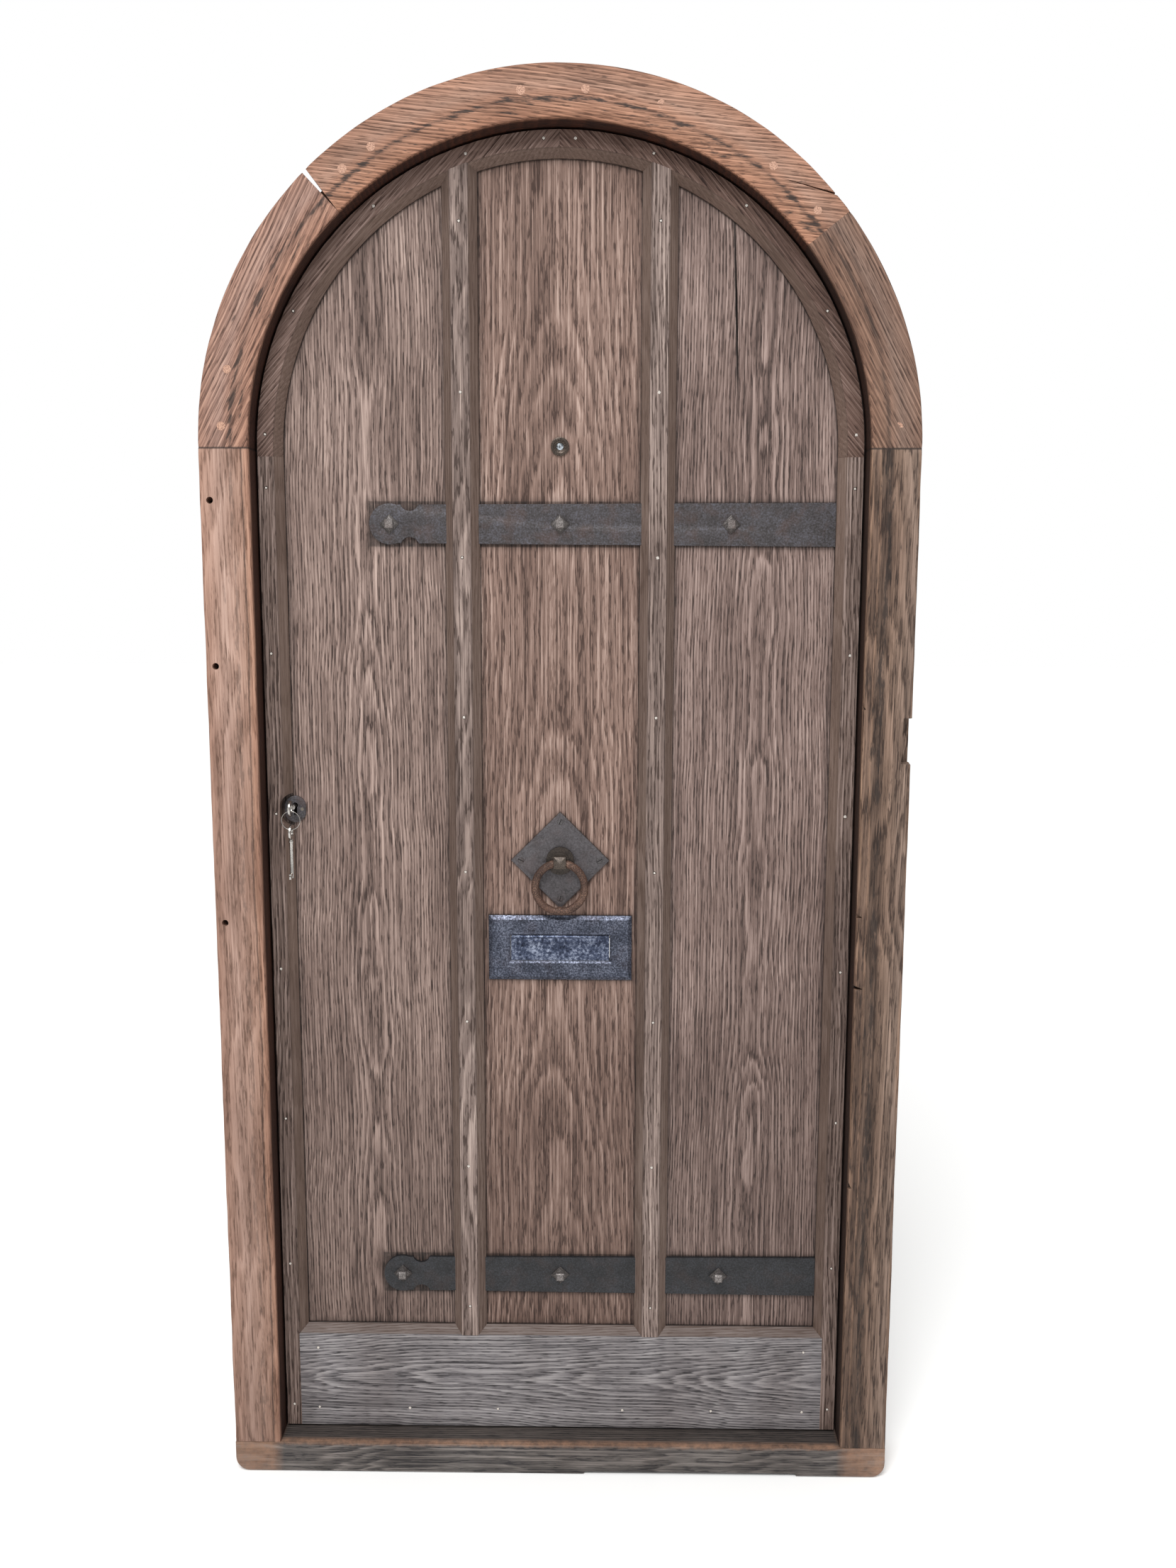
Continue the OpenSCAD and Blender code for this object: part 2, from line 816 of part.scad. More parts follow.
module knocker_screws() {
  color("#56524e") difference() {
    knocker_fixings(0);
    for (angle = [0 : 90 : 270])
      translate([knock_screw_r * cos(angle), y_plate, knock_z + knock_screw_r * sin(angle)])
        rotate([0, 20 + angle, 0]) cube([12, 2, 1.2], center = true);
  }
}

// Boss, square stud with a pyramid end, and the stem through the leaf.
module knocker_stud() {
  color("#54493f") difference() {
    union() {
      bar_y(0, knock_z, y_plate - 4, y_plate, boss_r);
      bar_y(0, knock_z, y_plate - 7, y_plate, boss_r * 0.65);
      span([-stud_side / 2, y_plate - stud_out, knock_z - stud_side / 2],
           [stud_side / 2, y_plate, knock_z + stud_side / 2]);
      translate([0, y_plate - stud_out, knock_z]) rotate([90, 0, 0]) rotate([0, 0, 45])
        cylinder(d1 = stud_side * sqrt(2), d2 = 0.4, h = 6, $fn = 4);
      bar_y(0, knock_z, y_plate - 1, y_leaf + washer_t + nut_t + 3, stem_d / 2);
    }
    translate([-stud_side, y_ring, knock_z]) rotate([0, 90, 0])
      cylinder(r = ring_neck + ring_room, h = 2 * stud_side);
  }
}

// The ring is drawn thin where it passes through the stud.
module knocker_ring() {
  color("#6b4a3c") translate([0, y_ring, knock_z - ring_r]) rotate([90, 0, 0]) {
    rotate([0, 0, 90 + neck_angle]) rotate_extrude(angle = 360 - 2 * neck_angle)
      translate([ring_r, 0]) circle(r = ring_wire, $fn = 48);
    rotate([0, 0, 90 - neck_angle]) rotate_extrude(angle = 2 * neck_angle)
      translate([ring_r, 0]) circle(r = ring_neck, $fn = 48);
  }
}

// --- Letter plate ---

module letter_plate() {
  half_w = letter_w / 2;
  half_h = letter_h / 2;
  color("#3f4148") difference() {
    translate([0, 0, letter_z]) intersection() {
      span([-half_w, y_letter, -half_h], [half_w, y_board, half_h]);
      rotate([90, 0, 90]) translate([0, 0, -half_w]) linear_extrude(letter_w) bevel_profile(half_h);
      translate([0, 0, -half_h]) linear_extrude(letter_h)
        mirror([1, -1, 0]) bevel_profile(half_w);
    }
    letter_slot(y_letter - 1, y_board + 1, 0);
    flap_axle(rod_d / 2 + tight, slot_w / 2 + 4);
    for (side = [-1, 1])
      bar_y(side * letter_bolt_x, letter_z, y_board - 5, y_board + 1, letter_bolt_d / 2 + tight);
  }
}

// Half section of the plate: depth against distance from its middle.
module bevel_profile(half) {
  polygon([[y_board, -half], [y_board, half], [y_letter + letter_bevel * 0.8, half],
           [y_letter, half - letter_bevel], [y_letter, -half + letter_bevel],
           [y_letter + letter_bevel * 0.8, -half]]);
}

module flap_axle(r, half) {
  translate([-half, y_rod, rod_z]) rotate([0, 90, 0]) cylinder(r = r, h = 2 * half);
}

module flap_rod() { color("#6a6660") flap_axle(rod_d / 2, slot_w / 2 + 3.5); }

// The flap hangs on the rod, with a raised field on its face.
module letter_flap() {
  half_w = slot_w / 2 - 0.6;
  foot_z = letter_z - slot_h / 2 + 0.8;
  color("#464a55") difference() {
    union() {
      flap_axle(barrel_r, half_w);
      span([-half_w, y_rod - flap_t / 2, foot_z], [half_w, y_rod + flap_t / 2, rod_z]);
      span([-half_w + 5, y_rod - flap_t / 2 - 1, foot_z + 4], [half_w - 5, y_rod, rod_z - 6]);
    }
    flap_axle(rod_d / 2 + tight, slot_w);
  }
}

module letter_bolts() {
  color("#6a6660") for (side = [-1, 1]) {
    bar_y(side * letter_bolt_x, letter_z, y_board - 4.5, y_mid + 1, letter_bolt_d / 2);
    bar_y(side * letter_bolt_x, letter_z, y_mid, y_mid + 3, letter_bolt_d);
  }
}

// --- Lock ---

module lock_case_blank(grow) {
  span([case_x - grow, y_lock - case_size[1] / 2 - grow, case_z - grow],
       [case_x + case_size[0] + grow, y_lock + case_size[1] / 2 + grow, case_z + case_size[2] + grow]);
}

module lock_bolt_shape(grow, out) {
  span([-leaf_r - out, y_lock - lock_bolt_size[1] / 2 - grow, lock_bolt_z - lock_bolt_size[2] / 2 - grow],
       [-leaf_r + lock_bolt_size[0] + grow, y_lock + lock_bolt_size[1] / 2 + grow,
        lock_bolt_z + lock_bolt_size[2] / 2 + grow]);
}

// The open-backed case; the cap closes it from the house side.
module lock_case() {
  color("#6d655c") difference() {
    lock_case_blank(0);
    lock_case_blank(-case_wall);
    cap_space(bite);
    lock_bolt_shape(fit, 1);
    keyhole(y_lock - case_size[1], y_lock);
  }
}

module cap_space(grow) {
  span([case_x + case_wall - grow / 9, y_cap - grow, case_z + case_wall - grow / 9],
       [case_x + case_size[0] - case_wall + grow / 9, y_cap + case_wall + grow,
        case_z + case_size[2] - case_wall + grow / 9]);
}

module lock_cap() { color("#7b7268") cap_space(0); }

// A fixed ring on the cap that only this key's slotted bit can turn round.
module lock_ward() {
  color("#8f8474") difference() {
    bar_y(key_x, key_z, y_ward, y_cap, ward_r[1]);
    bar_y(key_x, key_z, y_ward - 1, y_cap + 1, ward_r[0]);
  }
}

module lock_bolt() { color("#8b8478") lock_bolt_shape(0, 0); }

module forend_blank(grow) {
  mid_z = case_z + case_size[2] / 2;
  span([-leaf_r, y_lock - forend_size[0] / 2 - grow, mid_z - forend_size[1] / 2 - grow],
       [-leaf_r + forend_t, y_lock + forend_size[0] / 2 + grow, mid_z + forend_size[1] / 2 + grow]);
}

module forend_screws(grow) {
  for (side = [-1, 1])
    translate([-leaf_r, y_lock, case_z + case_size[2] / 2 + side * (forend_size[1] / 2 - 9)])
      rotate([0, -90, 0]) screw(24, 3.5, 7, grow);
}

module lock_forend() {
  color("#7c7468") difference() {
    forend_blank(0);
    lock_bolt_shape(fit, 1);
    forend_screws(tight);
  }
}

module leaf_screws() {
  color("#6f6a64") {
    hinge_screws("leaf", 0);
    forend_screws(0);
  }
}

// An upright plate with round ends, grown by a margin.
module escutcheon_shape(y0, y1, grow) {
  r = escutcheon_r + grow;
  for (side = [-1, 1]) bar_y(key_x, escutcheon_z + side * escutcheon_step, y0, y1, r);
  span([key_x - r, y0, escutcheon_z - escutcheon_step], [key_x + r, y1, escutcheon_z + escutcheon_step]);
}

module escutcheon_fixings(grow) {
  for (side = [-1, 1])
    face_screw(key_x + side * 10.5, y_board - escutcheon_t, escutcheon_z, 14, 2.5, 5, grow);
}

module escutcheon() {
  color("#57514d") difference() {
    escutcheon_shape(y_board - escutcheon_t, y_board, 0);
    keyhole(y_board - escutcheon_t - 1, y_board + 1);
    escutcheon_fixings(tight);
  }
}

module escutcheon_screws() { color("#6b645e") escutcheon_fixings(0); }

// --- Keys ---

// A key along Y from its bow, its bit pointing down; the origin is the middle of its bow.
module key_shape() {
  tip = y_lock + bit_size[1] / 2 - y_bow;
  difference() {
    union() {
      translate([-bow_t / 2, 0, 0]) rotate([0, 90, 0]) cylinder(r = bow_r, h = bow_t);
      bar_y(0, 0, bow_r - 2, tip, shank_r);
      bar_y(0, 0, bow_r + 1, bow_r + 3, shank_r + 1);
      translate([-bit_size[0] / 2, tip - bit_size[1], -bit_size[2]]) cube(bit_size);
    }
    translate([-bow_t, 0, 0]) rotate([0, 90, 0]) cylinder(r = bow_hole_r, h = 2 * bow_t);
    span([-bow_t, y_ward - y_bow - bite, -ward_r[1] - bite], [bow_t, tip + 1, -ward_r[0] + bite]);
    translate([-bow_t, tip - bit_size[1] + 2, -bit_size[2] - 1]) cube([2 * bow_t, 1.4, 5]);
  }
}

module key() { color("#b0aba3") translate([key_x, y_bow, key_z]) key_shape(); }

module split_ring() {
  color("#c2beb8") translate([key_x, y_bow, spare_z - key_ring_r]) rotate([90, 0, 0])
    rotate_extrude() translate([key_ring_r, 0]) circle(r = key_ring_wire, $fn = 24);
}

// The second key hangs from the ring, its bit turned away from the door.
module spare_key() {
  hang_z = spare_z - 2 * key_ring_r - bow_hole_r + key_ring_wire + ring_play;
  color("#b0aba3") translate([key_x, y_bow, hang_z]) rotate([-90, 0, 0]) key_shape();
}

sill();
jamb_lock();
jamb_hinge();
arch_left();
arch_crown();
arch_right();
arch_tenons();
frame_pegs();
keep_plate();
hinge_plates_fixed();
hinge_pins();
frame_screws();
board_left();
board_middle();
board_right();
stile_lock();
stile_hinge();
head_left();
head_right();
ledge_top();
ledge_middle();
ledge_bottom();
margin_lock();
margin_hinge();
margin_arch_left();
margin_arch_right();
muntin_left();
muntin_right();
bottom_rail();
strap_upper();
strap_lower();
strap_bolts();
through_washers();
through_nuts();
viewer_barrel();
viewer_lens();
viewer_sleeve();
knocker_plate();
knocker_screws();
knocker_stud();
letter_plate();
flap_rod();
letter_bolts();
lock_case();
lock_cap();
lock_ward();
lock_forend();
escutcheon();
escutcheon_screws();
strip_nails();
hinge_plates_moving();
leaf_screws();
knocker_ring();
letter_flap();
lock_bolt();
key();
split_ring();
spare_key();
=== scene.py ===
# Arched oak door in its frame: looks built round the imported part, in metres, Z up, street side at -Y.
import json
import math

import bmesh
import bpy
from mathutils import Matrix, Vector, noise

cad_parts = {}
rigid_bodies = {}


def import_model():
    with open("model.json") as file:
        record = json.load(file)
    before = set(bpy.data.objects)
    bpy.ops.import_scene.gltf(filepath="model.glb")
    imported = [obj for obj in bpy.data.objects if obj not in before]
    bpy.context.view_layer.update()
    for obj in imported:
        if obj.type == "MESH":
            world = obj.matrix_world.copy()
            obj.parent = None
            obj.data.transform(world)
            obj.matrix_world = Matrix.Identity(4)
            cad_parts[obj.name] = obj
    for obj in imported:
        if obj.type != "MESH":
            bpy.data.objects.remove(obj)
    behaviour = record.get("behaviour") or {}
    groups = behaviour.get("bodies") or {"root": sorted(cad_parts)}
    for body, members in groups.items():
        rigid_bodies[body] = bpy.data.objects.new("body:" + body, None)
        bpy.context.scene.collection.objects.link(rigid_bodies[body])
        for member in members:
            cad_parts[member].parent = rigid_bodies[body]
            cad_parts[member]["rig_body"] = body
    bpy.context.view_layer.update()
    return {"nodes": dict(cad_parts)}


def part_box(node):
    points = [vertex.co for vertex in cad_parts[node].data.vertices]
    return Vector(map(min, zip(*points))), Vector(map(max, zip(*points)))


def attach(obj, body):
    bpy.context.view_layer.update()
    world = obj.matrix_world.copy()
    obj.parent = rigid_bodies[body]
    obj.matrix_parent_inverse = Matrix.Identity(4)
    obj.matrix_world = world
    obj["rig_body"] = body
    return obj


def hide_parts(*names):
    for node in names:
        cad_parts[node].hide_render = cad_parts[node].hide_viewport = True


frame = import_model()
mm = 0.001

# --- Places read from the frame ---
openR = -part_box("jamb_lock")[1].x          # half the opening, and the arch's inner radius
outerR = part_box("jamb_hinge")[1].x
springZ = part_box("jamb_lock")[1].z
frontY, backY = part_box("arch_crown")[0].y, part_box("arch_crown")[1].y
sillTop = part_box("sill")[1].z
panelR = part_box("margin_hinge")[0].x       # where the boards come out from under the strips
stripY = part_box("margin_hinge")[0].y
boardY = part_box("margin_hinge")[1].y
muntinLow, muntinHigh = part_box("muntin_right")
muntinX = (muntinLow.x + muntinHigh.x) / 2
muntinHalf = (muntinHigh.x - muntinLow.x) / 2
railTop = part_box("bottom_rail")[1].z
strapHalf = (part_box("strap_upper")[1].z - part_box("strap_upper")[0].z) / 2
strapZs = [(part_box(n)[0].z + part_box(n)[1].z) / 2 for n in ("strap_upper", "strap_lower")]
knockLow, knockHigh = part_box("knocker_plate")
knockZ = (knockLow.z + knockHigh.z) / 2
letterLow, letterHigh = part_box("letter_plate")
letterZ = (letterLow.z + letterHigh.z) / 2


def linear(code):
    # an sRGB hex value as a linear colour
    parts = [int(code[i:i + 2], 16) / 255 for i in (1, 3, 5)]
    return [c / 12.92 if c <= 0.04045 else ((c + 0.055) / 1.055) ** 2.4 for c in parts] + [1]


def addNode(tree, kind, inputs=None, stops=None, **settings):
    # adds a node, its settings, values and links, and gives back its first output
    node = tree.nodes.new(kind)
    for key, value in settings.items():
        setattr(node, key, value)
    for key, value in (inputs or {}).items():
        if isinstance(value, bpy.types.NodeSocket):
            tree.links.new(value, node.inputs[key])
        else:
            node.inputs[key].default_value = value
    if stops:
        marks = node.color_ramp.elements
        while len(marks) < len(stops):
            marks.new(0.5)
        for mark, (place, colour) in zip(marks, stops):
            mark.position = place
            mark.color = linear(colour) if isinstance(colour, str) else (colour, colour, colour, 1)
    return node.outputs[0] if node.outputs else node


def calc(tree, operation, *values, **settings):
    # a Math node on the values
    return addNode(tree, "ShaderNodeMath", dict(enumerate(values)), operation=operation, **settings)


def remap(tree, value, low, high, toLow=0, toHigh=1, **settings):
    # a value moved from one range to another, and held inside it
    return addNode(tree, "ShaderNodeMapRange", {
        "Value": value, "From Min": low, "From Max": high, "To Min": toLow, "To Max": toHigh}, **settings)


def stretch(tree, place, scale):
    return addNode(tree, "ShaderNodeVectorMath", {0: place, 1: scale}, operation="MULTIPLY")


def cloud(tree, place, scale, detail, roughness=0.5):
    # noise with so many cells a metre, the same each way or one number for each axis
    if isinstance(scale, tuple):
        place, scale = stretch(tree, place, scale), 1
    return addNode(tree, "ShaderNodeTexNoise", {
        "Vector": place, "Scale": scale, "Detail": detail, "Roughness": roughness})


def stain(tree, share, colour, other, blend="MIX"):
    # a share of another colour laid over, or multiplied in
    other = linear(other) if isinstance(other, str) else other
    return addNode(tree, "ShaderNodeMix", {"Factor": share, "A": colour, "B": other},
                   data_type="RGBA", blend_type=blend).node.outputs["Result"]


def newGroup(name, kind, inputs, outputs):
    # an empty node group with its named sockets
    tree = bpy.data.node_groups.new(name, kind)
    for socketName, socketKind, value in inputs:
        socket = tree.interface.new_socket(socketName, in_out="INPUT", socket_type="NodeSocket" + socketKind)
        if value is not None:
            socket.default_value = value
    for socketName, socketKind in outputs:
        tree.interface.new_socket(socketName, in_out="OUTPUT", socket_type="NodeSocket" + socketKind)
    return tree, tree.nodes.new("NodeGroupInput").outputs, tree.nodes.new("NodeGroupOutput").inputs


# --- Oak grain ---

def buildGrain():
    # Growth rings about a pith behind the face. Lengths in metres, the grain along Z after the turn.
    tree, given, result = newGroup("oakGrain", "ShaderNodeTree", [
        ("Vector", "Vector", None), ("Turn", "Vector", None),
        ("Shift", "Vector", None), ("Spacing", "Float", 0.0065),
        ("Pith", "Float", 0.05), ("Wander", "Float", 0.03),
        ("Contrast", "Float", 0.5), ("Taper", "Float", 0.0)],
        [("Tone", "Float"), ("Height", "Float"), ("Place", "Vector")])
    place = addNode(tree, "ShaderNodeMapping", {
        "Vector": given["Vector"], "Location": given["Shift"], "Rotation": given["Turn"]})
    # the tree's own bends, over some 300 mm along the grain
    bend = cloud(tree, place, (2.6, 2.6, 3.0), 2, 0.45).node.outputs["Color"]
    bend = addNode(tree, "ShaderNodeVectorMath", {0: bend, 1: (0.5, 0.5, 0.5)}, operation="SUBTRACT")
    bend = addNode(tree, "ShaderNodeVectorMath", {0: bend, "Scale": given["Wander"]}, operation="SCALE")
    bent = addNode(tree, "ShaderNodeVectorMath", {0: place, 1: bend}, operation="ADD")
    parts = addNode(tree, "ShaderNodeSeparateXYZ", {0: bent}).node.outputs
    deep = calc(tree, "ADD", parts["Y"], given["Pith"])
    flat = addNode(tree, "ShaderNodeCombineXYZ", {0: parts["X"], 1: deep})
    radius = addNode(tree, "ShaderNodeVectorMath", {0: flat}, operation="LENGTH").node.outputs["Value"]
    # the trunk narrows upwards, so a flat face shows nested points
    radius = calc(tree, "MULTIPLY_ADD", parts["Z"], given["Taper"], radius)
    rings = calc(tree, "DIVIDE", radius, given["Spacing"])
    # fibres shift each ring up or down, so that its tips are toothed like a comb
    comb = cloud(tree, place, (380, 380, 5), 1)
    rings = calc(tree, "MULTIPLY_ADD", comb, 0.9, rings)
    rough = cloud(tree, place, (120, 120, 14), 2)
    rings = calc(tree, "MULTIPLY_ADD", rough, 0.30, rings)
    count = calc(tree, "FLOOR", rings)
    # one year is darker or wider than another
    year = addNode(tree, "ShaderNodeTexWhiteNoise", {"W": count}, noise_dimensions="1D")
    across = calc(tree, "FRACT", rings)
    band = addNode(tree, "ShaderNodeValToRGB", {0: across}, stops=[
        (0.0, 0.30), (0.12, 0.0), (0.42, 0.32), (0.66, 0.62), (0.82, 1.0), (0.94, 0.95), (1.0, 0.30)])
    depth = remap(tree, year, 0, 1, 0.6, 1.0)
    ring = addNode(tree, "ShaderNodeMix", {"Factor": depth, "A": 0.5, "B": band}, data_type="FLOAT")
    # pale fibres, a few mm wide and a hand long, then finer ones
    streak = cloud(tree, place, (480, 480, 5), 3, 0.7)
    streak = remap(tree, streak, 0.34, 0.66)
    fibre = cloud(tree, place, (800, 800, 40), 2, 0.6)
    # open pores, short dark dashes in the early wood
    pore = cloud(tree, place, (420, 420, 48), 2)
    pore = remap(tree, pore, 0.52, 0.62)
    early = calc(tree, "SUBTRACT", 1.0, ring)
    pore = calc(tree, "MULTIPLY", pore, early)
    slow = cloud(tree, place, (18, 18, 2.4), 3)
    tone = calc(tree, "MULTIPLY_ADD", ring, given["Contrast"], -0.20)
    tone = calc(tree, "MULTIPLY_ADD", streak, 0.44, tone)
    tone = calc(tree, "MULTIPLY_ADD", fibre, 0.34, tone)
    tone = calc(tree, "MULTIPLY_ADD", slow, 0.26, tone)
    tone = calc(tree, "MULTIPLY_ADD", pore, -0.36, tone)
    height = calc(tree, "MULTIPLY_ADD", ring, 0.55, fibre)
    height = calc(tree, "MULTIPLY_ADD", pore, -1.2, height)
    for name, socket in (("Tone", tone), ("Height", height), ("Place", place)):
        tree.links.new(socket, result[name])
    return tree


def buildReach():
    # How far a point is from the door's middle line, round the arch too, and beside its fittings.
    tree, given, result = newGroup("doorReach", "ShaderNodeTree", [("Vector", "Vector", None)], [
        ("Radius", "Float"), ("Gap", "Float"), ("Iron", "Float")])
    at = addNode(tree, "ShaderNodeSeparateXYZ", {0: given["Vector"]}).node.outputs
    above = calc(tree, "SUBTRACT", at["Z"], springZ)
    above = calc(tree, "MAXIMUM", above, 0)
    flat = addNode(tree, "ShaderNodeCombineXYZ", {0: at["X"], 1: 0, 2: above})
    radius = addNode(tree, "ShaderNodeVectorMath", {0: flat}, operation="LENGTH").node.outputs["Value"]
    side = calc(tree, "ABSOLUTE", at["X"])
    # Gap: from the nearest strip over the boards
    gap = calc(tree, "SUBTRACT", panelR, radius)
    strip = calc(tree, "SUBTRACT", side, muntinX)
    strip = calc(tree, "ABSOLUTE", strip)
    strip = calc(tree, "SUBTRACT", strip, muntinHalf)
    gap = calc(tree, "MINIMUM", gap, strip)
    foot = calc(tree, "SUBTRACT", at["Z"], railTop)
    gap = calc(tree, "MINIMUM", gap, foot)
    # Iron: from the nearest strap, knocker plate or letter plate
    iron = calc(tree, "SUBTRACT", at["Z"], knockZ)
    iron = calc(tree, "ABSOLUTE", iron)
    iron = calc(tree, "ADD", iron, side)
    iron = calc(tree, "SUBTRACT", iron, (knockHigh.z - knockLow.z) / 2)
    plate = calc(tree, "SUBTRACT", at["Z"], letterZ)
    plate = calc(tree, "ABSOLUTE", plate)
    plate = calc(tree, "SUBTRACT", plate, letterHigh.z - letterZ)
    wide = calc(tree, "SUBTRACT", side, letterHigh.x)
    plate = calc(tree, "MAXIMUM", plate, wide)
    iron = calc(tree, "MINIMUM", iron, plate)
    penny = calc(tree, "SUBTRACT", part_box("strap_upper")[0].x, at["X"])
    for z in strapZs:
        strap = calc(tree, "SUBTRACT", at["Z"], z)
        strap = calc(tree, "ABSOLUTE", strap)
        strap = calc(tree, "SUBTRACT", strap, strapHalf)
        strap = calc(tree, "MAXIMUM", strap, penny)
        iron = calc(tree, "MINIMUM", iron, strap)
    for name, socket in (("Radius", radius), ("Gap", gap), ("Iron", iron)):
        tree.links.new(socket, result[name])
    return tree


grainGroup = buildGrain()
reachGroup = buildReach()


def startMaterial(name):
    mat = bpy.data.materials.new(name)
    mat.use_nodes = True
    mat.node_tree.nodes.clear()
    return mat, mat.node_tree


def finishMaterial(tree, colour, rough, bump=None, **fixed):
    # the shader itself; fixed holds what is the same all over the surface
    inputs = {"Base Color": colour, "Roughness": rough}
    if bump:
        height, distance, strength = bump
        inputs["Normal"] = addNode(tree, "ShaderNodeBump", {
            "Height": height, "Distance": distance, "Strength": strength})
    inputs.update({key.replace("_", " "): value for key, value in fixed.items()})
    shader = addNode(tree, "ShaderNodeBsdfPrincipled", inputs)
    addNode(tree, "ShaderNodeOutputMaterial", {"Surface": shader})


oakLooks = {
    # turn: the grain's lean in degrees from upright; shift: metres, moves the piece about in its tree
    "boardLeft": dict(turn=0, shift=(0.289, 0, 0.35), spacing=0.0040, pith=0.040, wander=0.036,
                      tones=("#3f312c", "#7a665e", "#b09a90"), kind="board"),
    "boardMiddle": dict(turn=0, shift=(0.004, 0.2, 3.7), spacing=0.0036, pith=0.012, wander=0.020,
                        taper=0.02, contrast=0.22, tones=("#47352e", "#836a5f", "#c0a89c"), kind="board"),
    "boardRight": dict(turn=0, shift=(-0.300, 0, 6.2), spacing=0.0040, pith=0.042, wander=0.036,
                       tones=("#3c2f2b", "#735f58", "#a7928a"), kind="board",
                       shake=(260 * mm, springZ + 78 * mm, 251 * mm, springZ + 317 * mm)),
    "muntin": dict(turn=0, shift=(0.11, 0.1, 9.1), spacing=0.0040, pith=0.11, wander=0.03,
                   tones=("#43352f", "#82716a", "#bca99f"), contrast=0.28, kind="strip"),
    "margin": dict(turn=0, shift=(0.05, 0.3, 12.4), spacing=0.0042, pith=0.12, wander=0.03,
                   tones=("#33251f", "#6d5b53", "#a08d85"), contrast=0.28, kind="strip"),
    "archStripLeft": dict(turn=-42, shift=(0.02, 0.1, 15.3), spacing=0.0052, pith=0.10, wander=0.03,
                          tones=("#3a271f", "#765f56", "#a9938a"), contrast=0.3, spread=1.5, kind="strip"),
    "archStripRight": dict(turn=40, shift=(-0.05, 0.1, 17.3), spacing=0.0052, pith=0.10, wander=0.03,
                           tones=("#2e1c16", "#674f45", "#9c857c"), contrast=0.3, spread=1.5, kind="strip"),
    "rail": dict(turn=90, shift=(-0.14, 0.02, 1.9), spacing=0.0040, pith=0.030, wander=0.040,
                 taper=0.05, contrast=0.5, tones=("#383638", "#706c6e", "#9d9999"), kind="strip"),
    "jambLeft": dict(turn=1, shift=(0.42, 0.3, 21.3), spacing=0.0042, pith=0.14, wander=0.025,
                     tones=("#6c5347", "#a18375", "#c0a294"), marks=0.4, bands="stepped", spread=1.4,
                     kind="frame"),
    # the hinge jamb's darker tones are its own colour and partly painted shade
    "jambRight": dict(turn=-1, shift=(-0.40, 0.3, 23.3), spacing=0.0042, pith=0.14, wander=0.025,
                      tones=("#43352e", "#766357", "#9c8678"), marks=0.8, bands="ridged", spread=1.0,
                      knots=[(0.480, 1.042, 6 * mm), (0.478, 0.867, 8 * mm), (0.470, 0.64, 4 * mm),
                             (0.497, 0.33, 5 * mm)],
                      kind="frame"),
    "crown": dict(turn=-96, shift=(-2.0, 0.05, 25.0), spacing=0.0050, pith=0.08, wander=0.03,
                  tones=("#5f4538", "#957361", "#c39a85"), marks=0.9, spread=1.1, kind="frame"),
    "archLeft": dict(turn=-27, shift=(1.1, 0.05, 27.0), spacing=0.0048, pith=0.10, wander=0.03,
                     tones=("#564037", "#8f7165", "#c09f8f"), marks=0.8, spread=1.2, kind="frame"),
    "archRight": dict(turn=28, shift=(-1.0, 0.05, 29.0), spacing=0.0048, pith=0.10, wander=0.03,
                      tones=("#43322a", "#765f53", "#a18778"), marks=0.5, spread=1.4, kind="frame"),
    "sill": dict(turn=90, shift=(0.0, 0.1, 31.0), spacing=0.0046, pith=0.06, wander=0.04,
                 tones=("#2f2c2d", "#57524f", "#7d7672"), kind="sill"),
    "backing": dict(turn=0, shift=(0.07, 0.1, 33.0), spacing=0.0050, pith=0.09, wander=0.03,
                    tones=("#54423a", "#84705f", "#aa9480"), kind="plain"),
    "backingFlat": dict(turn=90, shift=(0.07, 0.1, 35.0), spacing=0.0050, pith=0.09, wander=0.03,
                        tones=("#54423a", "#84705f", "#aa9480"), kind="plain"),
}


# across a frame timber's face, from the opening's edge to the outside
frameBands = {
    "stepped": [(0.0, "#d9c3b4"), (0.05, "#ffe9d6"), (0.11, "#fff0e0"), (0.145, "#7f7067"), (0.17, "#efe4da"),
                (0.60, "#ffffff"), (1.0, "#f2e4da")],
    "ridged": [(0.0, "#e6d2c2"), (0.03, "#ffeeda"), (0.07, "#d2c2b5"), (0.16, "#c5b6ab"), (0.20, "#ffeedd"),
               (0.24, "#a4978d"), (0.42, "#b2a499"), (0.52, "#efe4da"), (0.92, "#ffffff"), (1.0, "#ffeedd")],
    "soft": [(0.0, "#dcc6b6"), (0.05, "#ffe9d6"), (0.28, "#fff0e2"), (0.36, "#c9bbb1"), (0.42, "#fff0e4"),
             (0.60, "#ffffff"), (1.0, "#f6e6da")],
}


